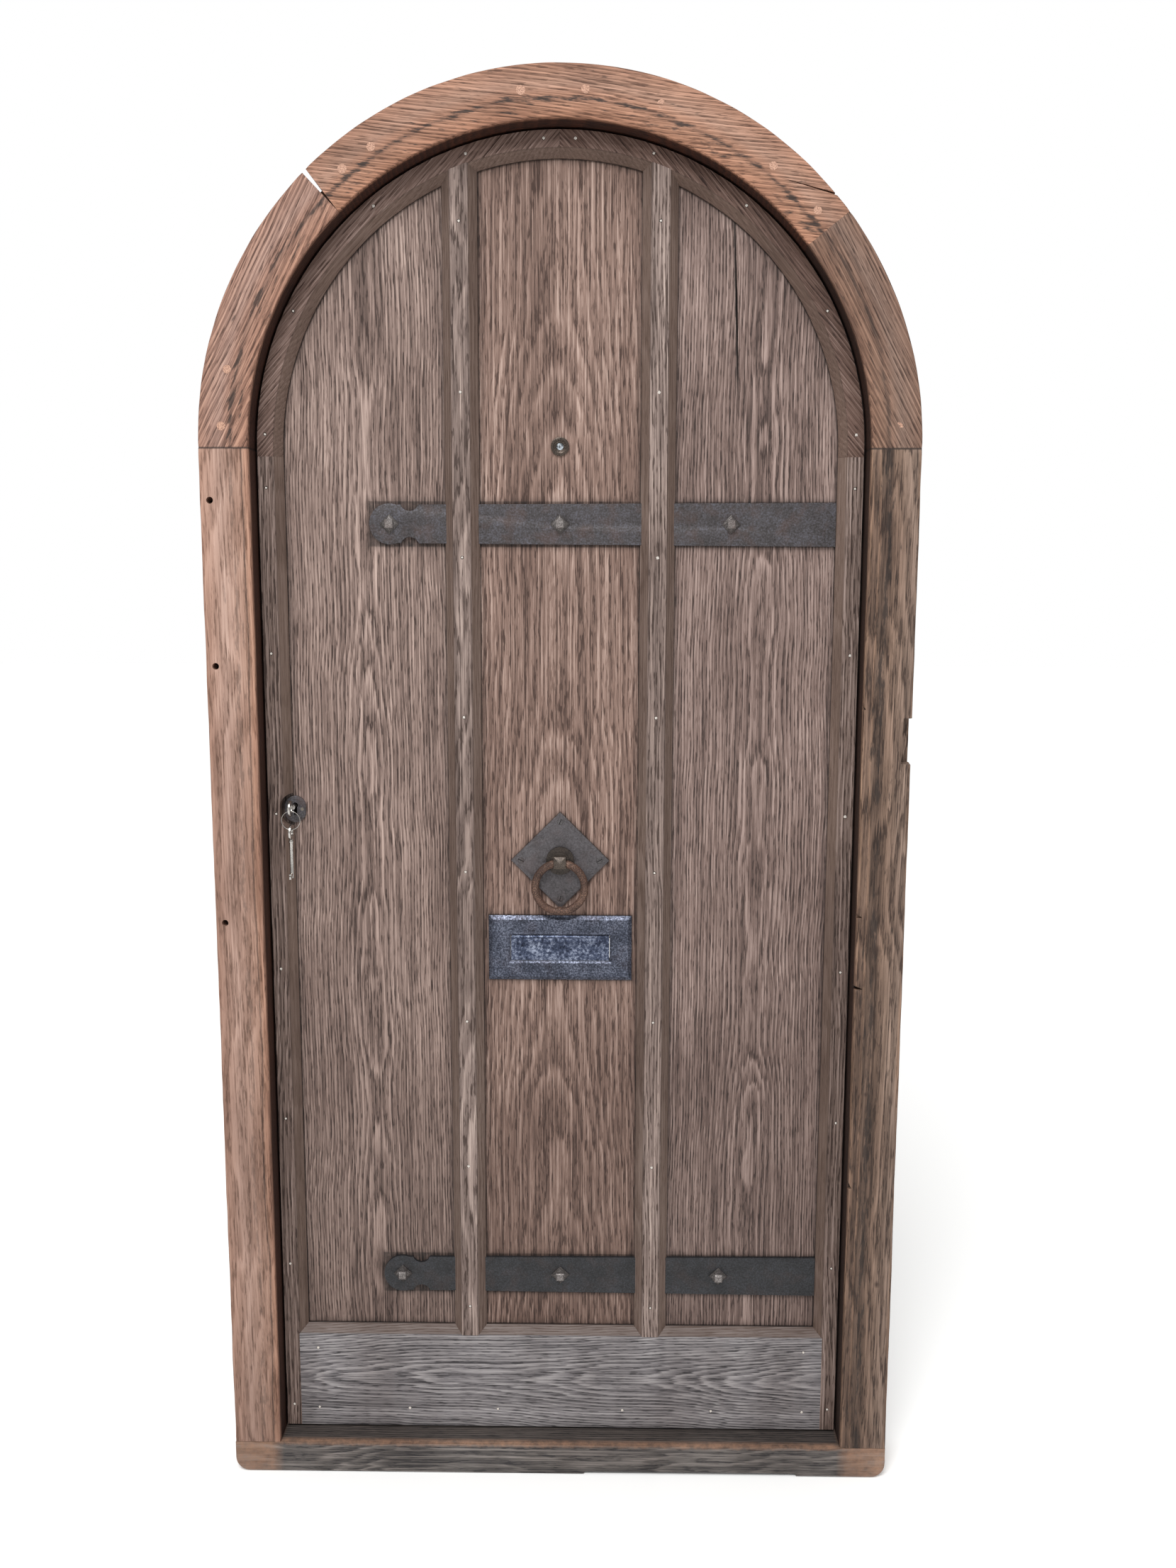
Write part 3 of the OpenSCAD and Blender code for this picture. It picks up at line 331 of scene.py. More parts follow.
def oakMaterial(name):
    # Weathered oak, planed then sanded and waxed: matt, open pores, darker in every corner from dirt and
    # painted shade.
    look = oakLooks[name]
    mat, tree = startMaterial("oak " + name)
    place = addNode(tree, "ShaderNodeTexCoord").node.outputs["Object"]
    grain = addNode(tree, "ShaderNodeGroup", {
        "Vector": place, "Turn": (0, math.radians(look["turn"]), 0), "Shift": look["shift"],
        "Spacing": look["spacing"], "Pith": look["pith"], "Wander": look["wander"],
        "Contrast": look.get("contrast", 0.38), "Taper": look.get("taper", 0.012)},
        node_tree=grainGroup).node.outputs
    reach = addNode(tree, "ShaderNodeGroup", {"Vector": place}, node_tree=reachGroup).node.outputs
    dark, middle, light = look["tones"]
    spread = look.get("spread", 1)
    colour = addNode(tree, "ShaderNodeValToRGB", {0: grain["Tone"]}, stops=[
        (0.47 - 0.33 * spread, dark), (0.47, middle), (0.47 + 0.35 * spread, light)])
    # patches of older finish, a hand's breadth across
    patch = cloud(tree, place, (9, 9, 4), 4)
    wear = cloud(tree, place, 90, 5, 0.65)
    at = addNode(tree, "ShaderNodeSeparateXYZ", {0: place}).node.outputs
    if look["kind"] == "board":
        # greyer towards the foot, where rain splashes
        low = remap(tree, at["Z"], 1.0, 0.3, 0, 0.42)
        colour = stain(tree, low, colour, "#8f8580", "MULTIPLY")
        # dirt and painted shade in the corners of the front, beside the strips and the iron: a dark line and a
        # soft halo
        front = calc(tree, "LESS_THAN", at["Y"], boardY + 12 * mm)
        for edge, span, deep in (("Gap", 2.2 * mm, 0.7), ("Gap", 12 * mm, 0.30), ("Iron", 2.5 * mm, 0.6),
                                 ("Iron", 11 * mm, 0.28)):
            grimeAndShade = remap(tree, reach[edge], span, 0, 0, deep, interpolation_type="SMOOTHSTEP")
            grimeAndShade = calc(tree, "MULTIPLY", grimeAndShade, wear)
            grimeAndShade = calc(tree, "MULTIPLY", grimeAndShade, front)
            grimeAndShade = calc(tree, "MULTIPLY", grimeAndShade, 1.9, use_clamp=True)
            colour = stain(tree, grimeAndShade, colour, "#3a302d", "MULTIPLY")
        # the right board's shake opens upwards
        if "shake" in look:
            footX, footZ, headX, headZ = look["shake"]
            line = remap(tree, at["Z"], footZ, headZ, footX, headX)
            line = calc(tree, "MULTIPLY_ADD", wear, 3.0 * mm, line)
            line = calc(tree, "SUBTRACT", line, 1.5 * mm)
            line = calc(tree, "SUBTRACT", at["X"], line)
            line = calc(tree, "ABSOLUTE", line)
            line = remap(tree, line, 2.2 * mm, 0.9 * mm, 0, 0.85)
            above = remap(tree, at["Z"], footZ - 30 * mm, footZ + 40 * mm)
            line = calc(tree, "MULTIPLY", line, above)
            line = calc(tree, "MULTIPLY", line, front)
            colour = stain(tree, line, colour, "#1d1613")
        # painted shade: the shake and the holes are darkened inside
        recessShade = remap(tree, at["Y"], boardY + 0.3 * mm, boardY + 2 * mm, 0, 0.9)
        recessShade = calc(tree, "MULTIPLY", recessShade, front)
        colour = stain(tree, recessShade, colour, "#1d1613")
    if look["kind"] == "frame":
        # d: out from the opening's edge. Sanded arris, a grey weathered band, a ragged ridge, brown oak.
        d = calc(tree, "SUBTRACT", reach["Radius"], openR)
        d = calc(tree, "MULTIPLY_ADD", wear, -0.003, d)
        d = calc(tree, "MULTIPLY_ADD", patch, -0.014, d)
        d = remap(tree, d, -0.0085, outerR - openR - 0.0085)
        band = addNode(tree, "ShaderNodeValToRGB", {0: d}, stops=frameBands[look.get("bands", "soft")])
        colour = stain(tree, 0.82, colour, band, "MULTIPLY")
        # a ragged black line left by an older stop, and stray strokes
        mark = cloud(tree, grain["Place"], (190, 190, 30), 3, 0.7)
        near = addNode(tree, "ShaderNodeValToRGB", {0: d}, stops=[
            (0.10, 0.06), (0.15, 0.12), (0.28, 0.07), (0.35, 0.24), (0.39, 0.20), (0.46, 0.05), (1.0, 0.02)])
        mark = calc(tree, "ADD", mark, near)
        mark = remap(tree, mark, 0.66, 0.78, 0, look["marks"])
        # the joints at the springing are open, a black line
        seam = calc(tree, "SUBTRACT", at["Z"], springZ)
        seam = calc(tree, "ABSOLUTE", seam)
        seam = remap(tree, seam, 2.0 * mm, 0.8 * mm, 0, 0.8)
        mark = calc(tree, "MAXIMUM", mark, seam)
        # the feet of the jambs are grey with wet
        low = remap(tree, at["Z"], 0.9, 0.1, 0, 0.45)
        colour = stain(tree, low, colour, "#a8a19c", "MULTIPLY")
        colour = stain(tree, mark, colour, "#2c231f")
        # painted shade: the reveal is darkened as if in shadow
        revealShade = remap(tree, at["Y"], frontY + 3 * mm, frontY + 10 * mm)
        face = calc(tree, "LESS_THAN", reach["Radius"], openR + 18 * mm)
        revealShade = calc(tree, "MULTIPLY", revealShade, face)
        colour = stain(tree, revealShade, colour, "#70584b", "MULTIPLY")
    if look["kind"] == "sill":
        # black with boots on top, tan along its worn front arris and at its ends
        top = remap(tree, at["Z"], sillTop - 7 * mm, sillTop - 5 * mm, 0, 0.8)
        colour = stain(tree, top, colour, "#a89f9b", "MULTIPLY")
        edge = calc(tree, "MULTIPLY_ADD", wear, 8 * mm, at["Z"])
        edge = remap(tree, edge, sillTop - 6 * mm, sillTop + 1 * mm, 0, 0.9)
        back = remap(tree, at["Y"], frontY + 14 * mm, frontY + 4 * mm)
        edge = calc(tree, "MULTIPLY", edge, back)
        ends = calc(tree, "ABSOLUTE", at["X"])
        ends = remap(tree, ends, openR - 5 * mm, openR + 15 * mm, 0, 0.8)
        edge = calc(tree, "MAXIMUM", edge, ends)
        edge = calc(tree, "MULTIPLY", edge, wear)
        edge = calc(tree, "MULTIPLY", edge, 1.5, use_clamp=True)
        colour = stain(tree, edge, colour, "#96745e")
    if look["kind"] == "strip":
        # the chamfers kept their brown finish; their feet are darkened with painted shade
        d = calc(tree, "MULTIPLY_ADD", wear, 0.9 * mm, at["Y"])
        chamfer = remap(tree, d, stripY + 0.9 * mm, stripY + 1.8 * mm, 0, 0.72)
        colour = stain(tree, chamfer, colour, "#5f4d43")
        # and their upper arris shows as a fine dark line, painted shadow under the flat's edge
        arris = calc(tree, "SUBTRACT", at["Y"], stripY + 0.9 * mm)
        arris = calc(tree, "ABSOLUTE", arris)
        arris = remap(tree, arris, 1.1 * mm, 0.2 * mm, 0, 0.35)
        colour = stain(tree, arris, colour, "#352923")
        # painted shade at the strip's foot, against the boards
        foot = remap(tree, d, boardY - 3.0 * mm, boardY, 0, 0.85)
        colour = stain(tree, foot, colour, "#2a211e", "MULTIPLY")
    for x, z, size in look.get("knots", []):
        away = addNode(tree, "ShaderNodeVectorMath", {0: place, 1: (x, frontY, z)}, operation="SUBTRACT")
        away = stretch(tree, away, (1, 0.2, 0.8))
        away = addNode(tree, "ShaderNodeVectorMath", {0: away}, operation="LENGTH").node.outputs["Value"]
        away = calc(tree, "MULTIPLY_ADD", wear, size, away)
        knot = remap(tree, away, size * 1.6, size * 0.7, 0, 0.8)
        colour = stain(tree, knot, colour, "#33241d")
    patch = remap(tree, patch, 0.35, 0.68, 0.0, 0.5)
    colour = stain(tree, patch, colour, "#b3a8a4", "MULTIPLY")
    rough = remap(tree, grain["Tone"], 0, 1, 0.78, 0.58)
    finishMaterial(tree, colour, rough, (grain["Height"], 0.35 * mm, 0.55), Specular_IOR_Level=0.35)
    return mat


metalLooks = {
    # colours: deep, body, bloom. pit: size of the pits in mm. foot: the depths along Y, at the base and
    # towards the tip of a proud part, for its painted shade. Forged iron is matt, cast iron shines.
    "forgedIron": dict(colours=("#292626", "#423e3f", "#5c5b63"), metallic=0.4, rough=(0.42, 0.62),
                       pit=2.6, depth=0.3, rust=0.22),
    "lowStrapIron": dict(colours=("#1a1a1c", "#28282a", "#37383d"), metallic=0.4, rough=(0.42, 0.60),
                         pit=2.6, depth=0.3, rust=0.08),
    "plateIron": dict(colours=("#333132", "#494547", "#5c595c"), metallic=0.35, rough=(0.42, 0.58),
                      pit=2.2, depth=0.2, rust=0.10),
    "studIron": dict(foot=(knockLow.y, knockLow.y - 22 * mm), colours=("#26211e", "#4a413a", "#6c6157"),
                     metallic=0.5, rough=(0.35, 0.55), pit=2.0, depth=0.35, rust=0.25),
    "screwIron": dict(foot=(knockLow.y + 0.1 * mm, knockLow.y - 0.4 * mm),
                      colours=("#242222", "#454142", "#6a6768"), metallic=0.5, rough=(0.35, 0.5),
                      pit=1.2, depth=0.1, rust=0.15),
    "boltIron": dict(foot=(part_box("strap_upper")[0].y - 2.5 * mm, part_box("strap_upper")[0].y - 6 * mm),
                     colours=("#2b2726", "#6b6563", "#9c9794"), metallic=0.45, rough=(0.35, 0.55),
                     pit=2.0, depth=0.25, rust=0.2),
    "rustyIron": dict(colours=("#1d1411", "#4b372e", "#8a6b5a"), metallic=0.35, rough=(0.48, 0.75),
                      pit=1.8, depth=0.5, rust=0.45),
    "castPlate": dict(colours=("#16181e", "#3d414e", "#787d8d"), metallic=0.7, rough=(0.32, 0.5),
                      pit=2.6, depth=0.55, rust=0.06),
    "castFlap": dict(colours=("#131721", "#434b60", "#9da5b8"), metallic=0.85, rough=(0.14, 0.30),
                     pit=4.0, depth=0.9, rust=0.0),
    "bronze": dict(colours=("#1e1a18", "#403832", "#7d7269"), metallic=0.8, rough=(0.25, 0.45),
                   pit=1.2, depth=0.1, rust=0.08),
    "lockSteel": dict(colours=("#45403b", "#7c756c", "#a29b90"), metallic=0.9, rough=(0.35, 0.55),
                      pit=1.5, depth=0.12, rust=0.2),
    "nickel": dict(colours=("#77736f", "#aba7a2", "#d9d6d1"), metallic=1.0, rough=(0.14, 0.32),
                   pit=0.8, depth=0.05, rust=0.0),
}


def metalMaterial(name):
    # Old metal: a dull body, a paler bloom in patches, pits that hold dirt, some rust.
    look = metalLooks[name]
    deep, body, bloom = look["colours"]
    mat, tree = startMaterial("metal " + name)
    place = addNode(tree, "ShaderNodeTexCoord").node.outputs["Object"]
    mist = cloud(tree, place, 30, 7, 0.62)
    grit = cloud(tree, place, 1000 / look["pit"], 4, 0.6)
    tone = addNode(tree, "ShaderNodeMix", {"Factor": 0.66, "A": mist, "B": grit}, data_type="FLOAT")
    colour = addNode(tree, "ShaderNodeValToRGB", {0: tone}, stops=[(0.33, deep), (0.49, body), (0.67, bloom)])
    rust = cloud(tree, place, 34, 5)
    rust = remap(tree, rust, 0.5, 0.66, 0, look["rust"])
    colour = stain(tree, rust, colour, "#614539")
    # painted shade darkens the foot of what stands proud, so its top reads lighter
    if "foot" in look:
        low, high = look["foot"]
        depth = addNode(tree, "ShaderNodeSeparateXYZ", {0: place}).node.outputs["Y"]
        depth = remap(tree, depth, high, low, 0.0, 0.75)
        colour = stain(tree, depth, colour, "#4a4340", "MULTIPLY")
    smooth, dull = look["rough"]
    rough = remap(tree, tone, 0.35, 0.65, dull, smooth)
    finishMaterial(tree, colour, rough, (grit, look["depth"] * mm, 0.6), Metallic=look["metallic"])
    return mat


def smallMaterial(name, dark, light, grain, rough, **fixed):
    # a fine mottle between two colours, its grain in mm
    mat, tree = startMaterial(name)
    place = addNode(tree, "ShaderNodeTexCoord").node.outputs["Object"]
    mottle = cloud(tree, place, 1000 / grain, 3)
    colour = addNode(tree, "ShaderNodeValToRGB", {0: mottle}, stops=[(0.36, dark), (0.64, light)])
    finishMaterial(tree, colour, rough, (mottle, 0.1 * mm, 0.5), **fixed)
    return mat


print("materials")
oak = {name: oakMaterial(name) for name in oakLooks}
metal = {name: metalMaterial(name) for name in metalLooks}
endGrain = smallMaterial("oak end grain", "#8a6655", "#c39a83", 1.6, 0.7)
filler = smallMaterial("wax filler over nails", "#a39a92", "#d6cfc7", 1.2, 0.6)
lensGlass = smallMaterial("viewer glass", "#1a1f24", "#aeb6bd", 3.0, 0.04, IOR=1.5, Coat_Weight=1.0)


# --- Shapes ---

def addPiece(name, mesh, body, mat, slot, *nodes):
    # a finished mesh: smooth faces with sharp edges kept, its material, body and the nodes it stands for
    mesh.materials.clear()
    mesh.materials.append(mat)
    mesh.polygons.foreach_set("use_smooth", [True] * len(mesh.polygons))
    mesh.set_sharp_from_angle(angle=math.radians(32))
    piece = bpy.data.objects.new(name, mesh)
    bpy.context.scene.collection.objects.link(piece)
    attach(piece, body)
    if nodes:
        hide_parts(*nodes)
    return piece


def nodeMesh(node):
    # a merged copy of a node's mesh, its flat faces whole again
    shape = bmesh.new()
    shape.from_mesh(frame["nodes"][node].data)
    bmesh.ops.remove_doubles(shape, verts=shape.verts, dist=0.002 * mm)
    bmesh.ops.dissolve_limit(shape, angle_limit=math.radians(2), verts=shape.verts, edges=shape.edges)
    return shape


def nodeCopy(node):
    # that merged copy as a mesh
    shape = nodeMesh(node)
    mesh = bpy.data.meshes.new(node + "Shape")
    shape.to_mesh(mesh)
    shape.free()
    return mesh


def evaluated(mesh, build):
    # the mesh after the modifiers that build adds to it
    holder = bpy.data.objects.new("holder", mesh)
    bpy.context.scene.collection.objects.link(holder)
    build(holder)
    bpy.context.view_layer.update()
    ready = holder.evaluated_get(bpy.context.evaluated_depsgraph_get())
    result = bpy.data.meshes.new_from_object(ready)
    bpy.data.objects.remove(holder)
    return result


def softCopy(node, width, mat, slot, body=None, steps=2):
    # a node with its edges eased by a width in mm
    mesh = nodeCopy(node)
    if "custom_normal" in mesh.attributes:
        mesh.attributes.remove(mesh.attributes["custom_normal"])

    def ease(holder):
        bevel = holder.modifiers.new("ease", "BEVEL")
        bevel.width = width * mm
        bevel.segments = steps
        bevel.limit_method = "ANGLE"
        bevel.angle_limit = math.radians(35)
        bevel.use_clamp_overlap = True

    mesh = evaluated(mesh, ease)
    return addPiece(node + "Worn", mesh, body or frame["nodes"][node]["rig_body"], mat, slot, node)


def flatCounts(corners, pitch):
    # how many steps each flat of an outline takes
    return [max(1, round((Vector(corners[(i + 1) % len(corners)]) - Vector(corner)).length / pitch))
            for i, corner in enumerate(corners)]


def roundLoop(corners, radii, counts, steps=3):
    # points round a closed outline, each corner an arc, its flats divided
    loop = []
    for i, corner in enumerate(corners):
        here, last, after = Vector(corner), Vector(corners[i - 1]), Vector(corners[(i + 1) % len(corners)])
        into, out = (last - here).normalized() * radii[i], (after - here).normalized() * radii[i]
        for k in range(steps + 1):
            t = k / steps
            loop.append(here + into * (1 - t) ** 2 + out * t ** 2)
        start = loop[-1]
        end = after + (here - after).normalized() * radii[(i + 1) % len(corners)]
        loop += [start.lerp(end, k / counts[i]) for k in range(1, counts[i])]
    return loop


def loft(loops, closed=False):
    # a mesh through equal loops of 3D points, its ends capped
    shape = bmesh.new()
    rows = [[shape.verts.new(point) for point in loop] for loop in loops]
    size = len(loops[0])
    for i in range(len(rows) if closed else len(rows) - 1):
        below, above = rows[i], rows[(i + 1) % len(rows)]
        for k in range(size):
            shape.faces.new((below[k], below[(k + 1) % size], above[(k + 1) % size], above[k]))
    if not closed:
        shape.faces.new(rows[0][::-1])
        shape.faces.new(rows[-1])
    bmesh.ops.recalc_face_normals(shape, faces=shape.faces)
    mesh = bpy.data.meshes.new("loft")
    shape.to_mesh(mesh)
    shape.free()
    return mesh


# pitch and step: mesh size across and along the timber; uneven: how deep its faces are worn
timber = dict(pitch=9 * mm, step=7 * mm, arris=2.2 * mm, uneven=0.5 * mm)


def wornSection(corners, radii, seed, s):
    # one section of a worn timber, s metres along it; its opening-side arris comes first
    worn = [r * (1 + wearShare * (0.5 + 0.9 * noise.noise((s * 7, seed, i * 9.1)) +
                                  0.6 * noise.noise((s * 31, seed, i * 5.3))))
            for i, (r, wearShare) in enumerate(radii)]
    loop = roundLoop(corners, [max(0.0004, r) for r in worn], flatCounts(corners, timber["pitch"]))
    result = []
    for i, point in enumerate(loop):
        along = loop[(i + 1) % len(loop)] - loop[i - 1]
        inward = Vector((-along.y, along.x)).normalized()
        dent = max(0, noise.noise((point.x * 40, point.y * 40, s * 14 + seed)) + 0.25)
        result.append(point + inward * dent * timber["uneven"])
    return result


stopY = boardY - 1 * mm                     # where the leaf's stop is cut
rebateR = openR + 13 * mm
frameCorners = [(openR, frontY), (outerR, frontY), (outerR, backY), (rebateR, backY),
                (rebateR, stopY), (openR, stopY)]
# each corner's radius, and how unevenly it has worn
frameRadii = [(timber["arris"], 1.6), (2.0 * mm, 1.5), (1.5 * mm, 1), (1.0 * mm, 0.5), (0.5 * mm, 0),
              (1.0 * mm, 0.5)]


def insetLoop(loop, amount):
    middle = sum(loop, Vector((0, 0))) / len(loop)
    return [p + (middle - p).normalized() * amount for p in loop]


def jambMesh(side, seed):
    # an upright from the sill to the springing, seen from the street
    foot, head = 0.05, springZ
    count = round((head - foot) / timber["step"])
    loops = []
    for i in range(count + 1):
        z = foot + (head - foot) * i / count
        section = wornSection(frameCorners, frameRadii, seed, z)
        if i in (0, count):
            section = insetLoop(section, 0.4 * mm)
        loops.append([Vector((side * p.x, p.y, z)) for p in section])
    return loft(loops)


def withTree(mesh, tree, values):
    # a mesh as a Geometry Nodes tree leaves it
    def give(holder):
        modifier = holder.modifiers.new(tree.name, "NODES")
        modifier.node_group = tree
        for item in tree.interface.items_tree:
            if item.item_type == "SOCKET" and item.name in values:
                modifier[item.identifier] = values[item.name]

    return evaluated(mesh, give)


def endTree(tree, given, result, geometry):
    # plain geometry in the tree's material
    solid = addNode(tree, "GeometryNodeRealizeInstances", {0: geometry})
    solid = addNode(tree, "GeometryNodeSetMaterial", {0: solid, "Material": given["Material"]})
    tree.links.new(solid, result["Geometry"])
    return tree


def buildBend():
    # bends a straight timber into an arch: X stays the radius and Z becomes the way round
    tree, given, result = newGroup("bendToArch", "GeometryNodeTree", [
        ("Geometry", "Geometry", None), ("Radius", "Float", 0.5),
        ("Springing", "Float", 1.6), ("Material", "Material", None)],
        [("Geometry", "Geometry")])
    at = addNode(tree, "ShaderNodeSeparateXYZ", {0: addNode(tree, "GeometryNodeInputPosition")}).node.outputs
    angle = calc(tree, "DIVIDE", at["Z"], given["Radius"])
    across = calc(tree, "COSINE", angle)
    across = calc(tree, "MULTIPLY", across, at["X"])
    up = calc(tree, "SINE", angle)
    up = calc(tree, "MULTIPLY_ADD", up, at["X"], given["Springing"])
    bent = addNode(tree, "ShaderNodeCombineXYZ", {"X": across, "Y": at["Y"], "Z": up})
    moved = addNode(tree, "GeometryNodeSetPosition", {0: given["Geometry"], "Position": bent})
    return endTree(tree, given, result, moved)


bendTree = buildBend()


def archMesh(low, high, seed, mat, gape=0):
    # a sawn segment of the arch between two angles in degrees; gape opens its far joint outwards
    count = round(math.radians(high - low) * outerR / timber["step"])
    loops = []
    for i in range(count + 1):
        t = i / count
        along = math.radians(low + (high - low) * t) * outerR
        section = wornSection(frameCorners, frameRadii, seed, along)
        if i in (0, count):
            section = insetLoop(section, 0.5 * mm)
        shear = gape / (outerR - openR) * outerR * t ** 8
        loops.append([Vector((p.x, p.y, along - shear * (p.x - openR) / p.x)) for p in section])
    return withTree(loft(loops), bendTree, {"Radius": outerR, "Springing": springZ, "Material": mat})


def cutAway(mesh, cutters):
    # the mesh less each of the cutter meshes
    for cutter in cutters:
        tool = bpy.data.objects.new("cutter", cutter)
        bpy.context.scene.collection.objects.link(tool)

        def cut(holder):
            boolean = holder.modifiers.new("cut", "BOOLEAN")
            boolean.operation = "DIFFERENCE"
            boolean.object = tool

        mesh = evaluated(mesh, cut)
        bpy.data.objects.remove(tool)
    return mesh


def barMesh(x, z, low, high, radius, sides=20):
    # a round bar along Y
    ring = [(radius * math.cos(math.tau * k / sides), radius * math.sin(math.tau * k / sides))
            for k in range(sides)]
    return loft([[Vector((x + a, y, z + b)) for a, b in ring] for y in (low, high)])


def boxMesh(low, high, ragged=0, seed=0):
    # a box, its faces broken up by a raggedness in metres
    shape = bmesh.new()
    bmesh.ops.create_cube(shape, size=1)
    bmesh.ops.subdivide_edges(shape, edges=shape.edges, cuts=5, use_grid_fill=True)
    low, high = Vector(low), Vector(high)
    for v in shape.verts:
        v.co = Vector([low[k] + (v.co[k] + 0.5) * (high[k] - low[k]) for k in range(3)])
        v.co += noise.noise_vector(v.co * 60 + Vector((seed, 0, 0))) * ragged
    mesh = bpy.data.meshes.new("box")
    shape.to_mesh(mesh)
    shape.free()
    return mesh


def slabMesh(points, low, high):
    # an outline of X and Z, as thick as from low to high along Y
    return loft([[Vector((x, y, z)) for x, z in points] for y in (low, high)])


print("frame timbers")
# what time and tools left in the frame: heights in metres; a nick is its height, width, length and depth
frameMarks = dict(
    holeIn=14.5 * mm, holeR=5 * mm, holeZs=(0.904, 1.292, springZ - 0.074),
    notch=(springZ - 0.455, springZ - 0.387),
    nicks=((0.806, 0.012, 0.007, 0.012), (0.917, 0.008, 0.008, 0.006),
           (0.487, 0.005, 0.016, 0.006), (1.231, 0.004, 0.010, 0.005)),
    split=((0.306, 0.3686), (0.350, 0.3555), (0.402, 0.3405), (0.402, 0.3440), (0.350, 0.3573)),
    rightJoint=38.5, leftJoint=133.7, gape=7 * mm)
holes = [barMesh(-outerR + frameMarks["holeIn"], z, frontY - 5 * mm, backY + 5 * mm, frameMarks["holeR"])
         for z in frameMarks["holeZs"]]
notch = boxMesh((outerR - 14 * mm, frontY - 10 * mm, frameMarks["notch"][0]),
                (outerR + 10 * mm, frontY + 25 * mm, frameMarks["notch"][1]), 2 * mm)
# saw nicks and bruises on the hinge jamb's opening edge
nicks = [slabMesh([(openR - 2 * mm, z), (openR + wide, z + 0.4 * mm), (openR + wide, z + 1.6 * mm),
                   (openR - 2 * mm, z + tall)], frontY - 2 * mm, frontY + deep)
         for z, wide, tall, deep in frameMarks["nicks"]]
# the crown is split near its right joint
split = slabMesh([(x, springZ + z) for x, z in frameMarks["split"]], frontY - 5 * mm, frontY + 40 * mm)
boltLow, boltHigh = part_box("lock_bolt")
mortiseEnd = Vector((boltLow.x + 10 * mm, boltHigh.y + 1 * mm, boltHigh.z + 1 * mm))
keep = [nodeCopy("keep_plate"), boxMesh(boltLow - Vector((26 * mm, 1 * mm, 1 * mm)), mortiseEnd)]
nicked = [notch, nodeCopy("hinge_plates_fixed")] + nicks
right, left = frameMarks["rightJoint"], frameMarks["leftJoint"]
crown = cutAway(archMesh(right, left, 15.9, oak["crown"], frameMarks["gape"]), [split])
for name, mesh, look, slotName, node in (
        ("jambLock", cutAway(jambMesh(-1, 3.1), holes + keep), "jambLeft", "jamb_oak", "jamb_lock"),
        ("jambHinge", cutAway(jambMesh(1, 7.7), nicked), "jambRight", "jamb_oak", "jamb_hinge"),
        ("archRight", archMesh(0, right, 11.3, oak["archRight"]), "archRight", "arch_oak", "arch_right"),
        ("archCrown", crown, "crown", "arch_oak", "arch_crown"),
        ("archLeft", archMesh(left, 180, 19.2, oak["archLeft"]), "archLeft", "arch_oak", "arch_left")):
    addPiece(name, mesh, "frame", oak[look], slotName, node)
softCopy("sill", 3.0, oak["sill"], "sill_oak")

print("leaf timbers")
for node, look, slotName in (
        ("margin_lock", "margin", "strip_oak"), ("margin_hinge", "margin", "strip_oak"),
        ("margin_arch_left", "archStripLeft", "arch_strip_oak"),
        ("margin_arch_right", "archStripRight", "arch_strip_oak"),
        ("muntin_left", "muntin", "strip_oak"), ("muntin_right", "muntin", "strip_oak"),
        ("bottom_rail", "rail", "rail_oak")):
    softCopy(node, 0.9, oak[look], slotName)
for node in ("stile_lock", "stile_hinge", "head_left", "head_right", "ledge_top", "ledge_middle",
             "ledge_bottom"):
    look = "backingFlat" if node.startswith("ledge") else "backing"
    softCopy(node, 2.0, oak[look], "framing_oak")

# --- What repeats: nails, pegs, bolts and screws ---

def buildScatter():
    # a pattern object on every point, each turned about Y and sized at random
    tree, given, result = newGroup("scatterFixings", "GeometryNodeTree", [
        ("Geometry", "Geometry", None), ("Pattern", "Object", None),
        ("Material", "Material", None), ("Spin", "Float", 3.14),
        ("Smallest", "Float", 0.9), ("Largest", "Float", 1.1),
        ("Seed", "Int", 1)], [("Geometry", "Geometry")])
    pattern = addNode(tree, "GeometryNodeObjectInfo", {"Object": given["Pattern"]}).node.outputs["Geometry"]
    back = calc(tree, "MULTIPLY", given["Spin"], -1)
    low = addNode(tree, "ShaderNodeCombineXYZ", {"Y": back})
    high = addNode(tree, "ShaderNodeCombineXYZ", {"Y": given["Spin"]})
    turn = addNode(tree, "FunctionNodeRandomValue", {0: low, 1: high, "Seed": given["Seed"]},
                   data_type="FLOAT_VECTOR")
    size = addNode(tree, "FunctionNodeRandomValue", {2: given["Smallest"], 3: given["Largest"],
                                                     "Seed": given["Seed"]}, data_type="FLOAT").node.outputs[1]
    copies = addNode(tree, "GeometryNodeInstanceOnPoints", {
        "Points": given["Geometry"], "Instance": pattern, "Rotation": turn, "Scale": size})
    return endTree(tree, given, result, copies)


scatterTree = buildScatter()


def middles(node):
    # the middle of each loose solid of a node, from the lowest up, so that each keeps its random number
    shape = nodeMesh(node)
    left, found = set(shape.verts), []
    while left:
        group, queue = [], [left.pop()]
        while queue:
            vert = queue.pop()
            group.append(vert.co.copy())
            linked = {edge.other_vert(vert) for edge in vert.link_edges} & left
            left -= linked
            queue += linked
        found.append(Vector([(min(p[k] for p in group) + max(p[k] for p in group)) / 2 for k in range(3)]))
    shape.free()
    return sorted(found, key=lambda p: (round(p.z, 4), round(p.x, 4)))


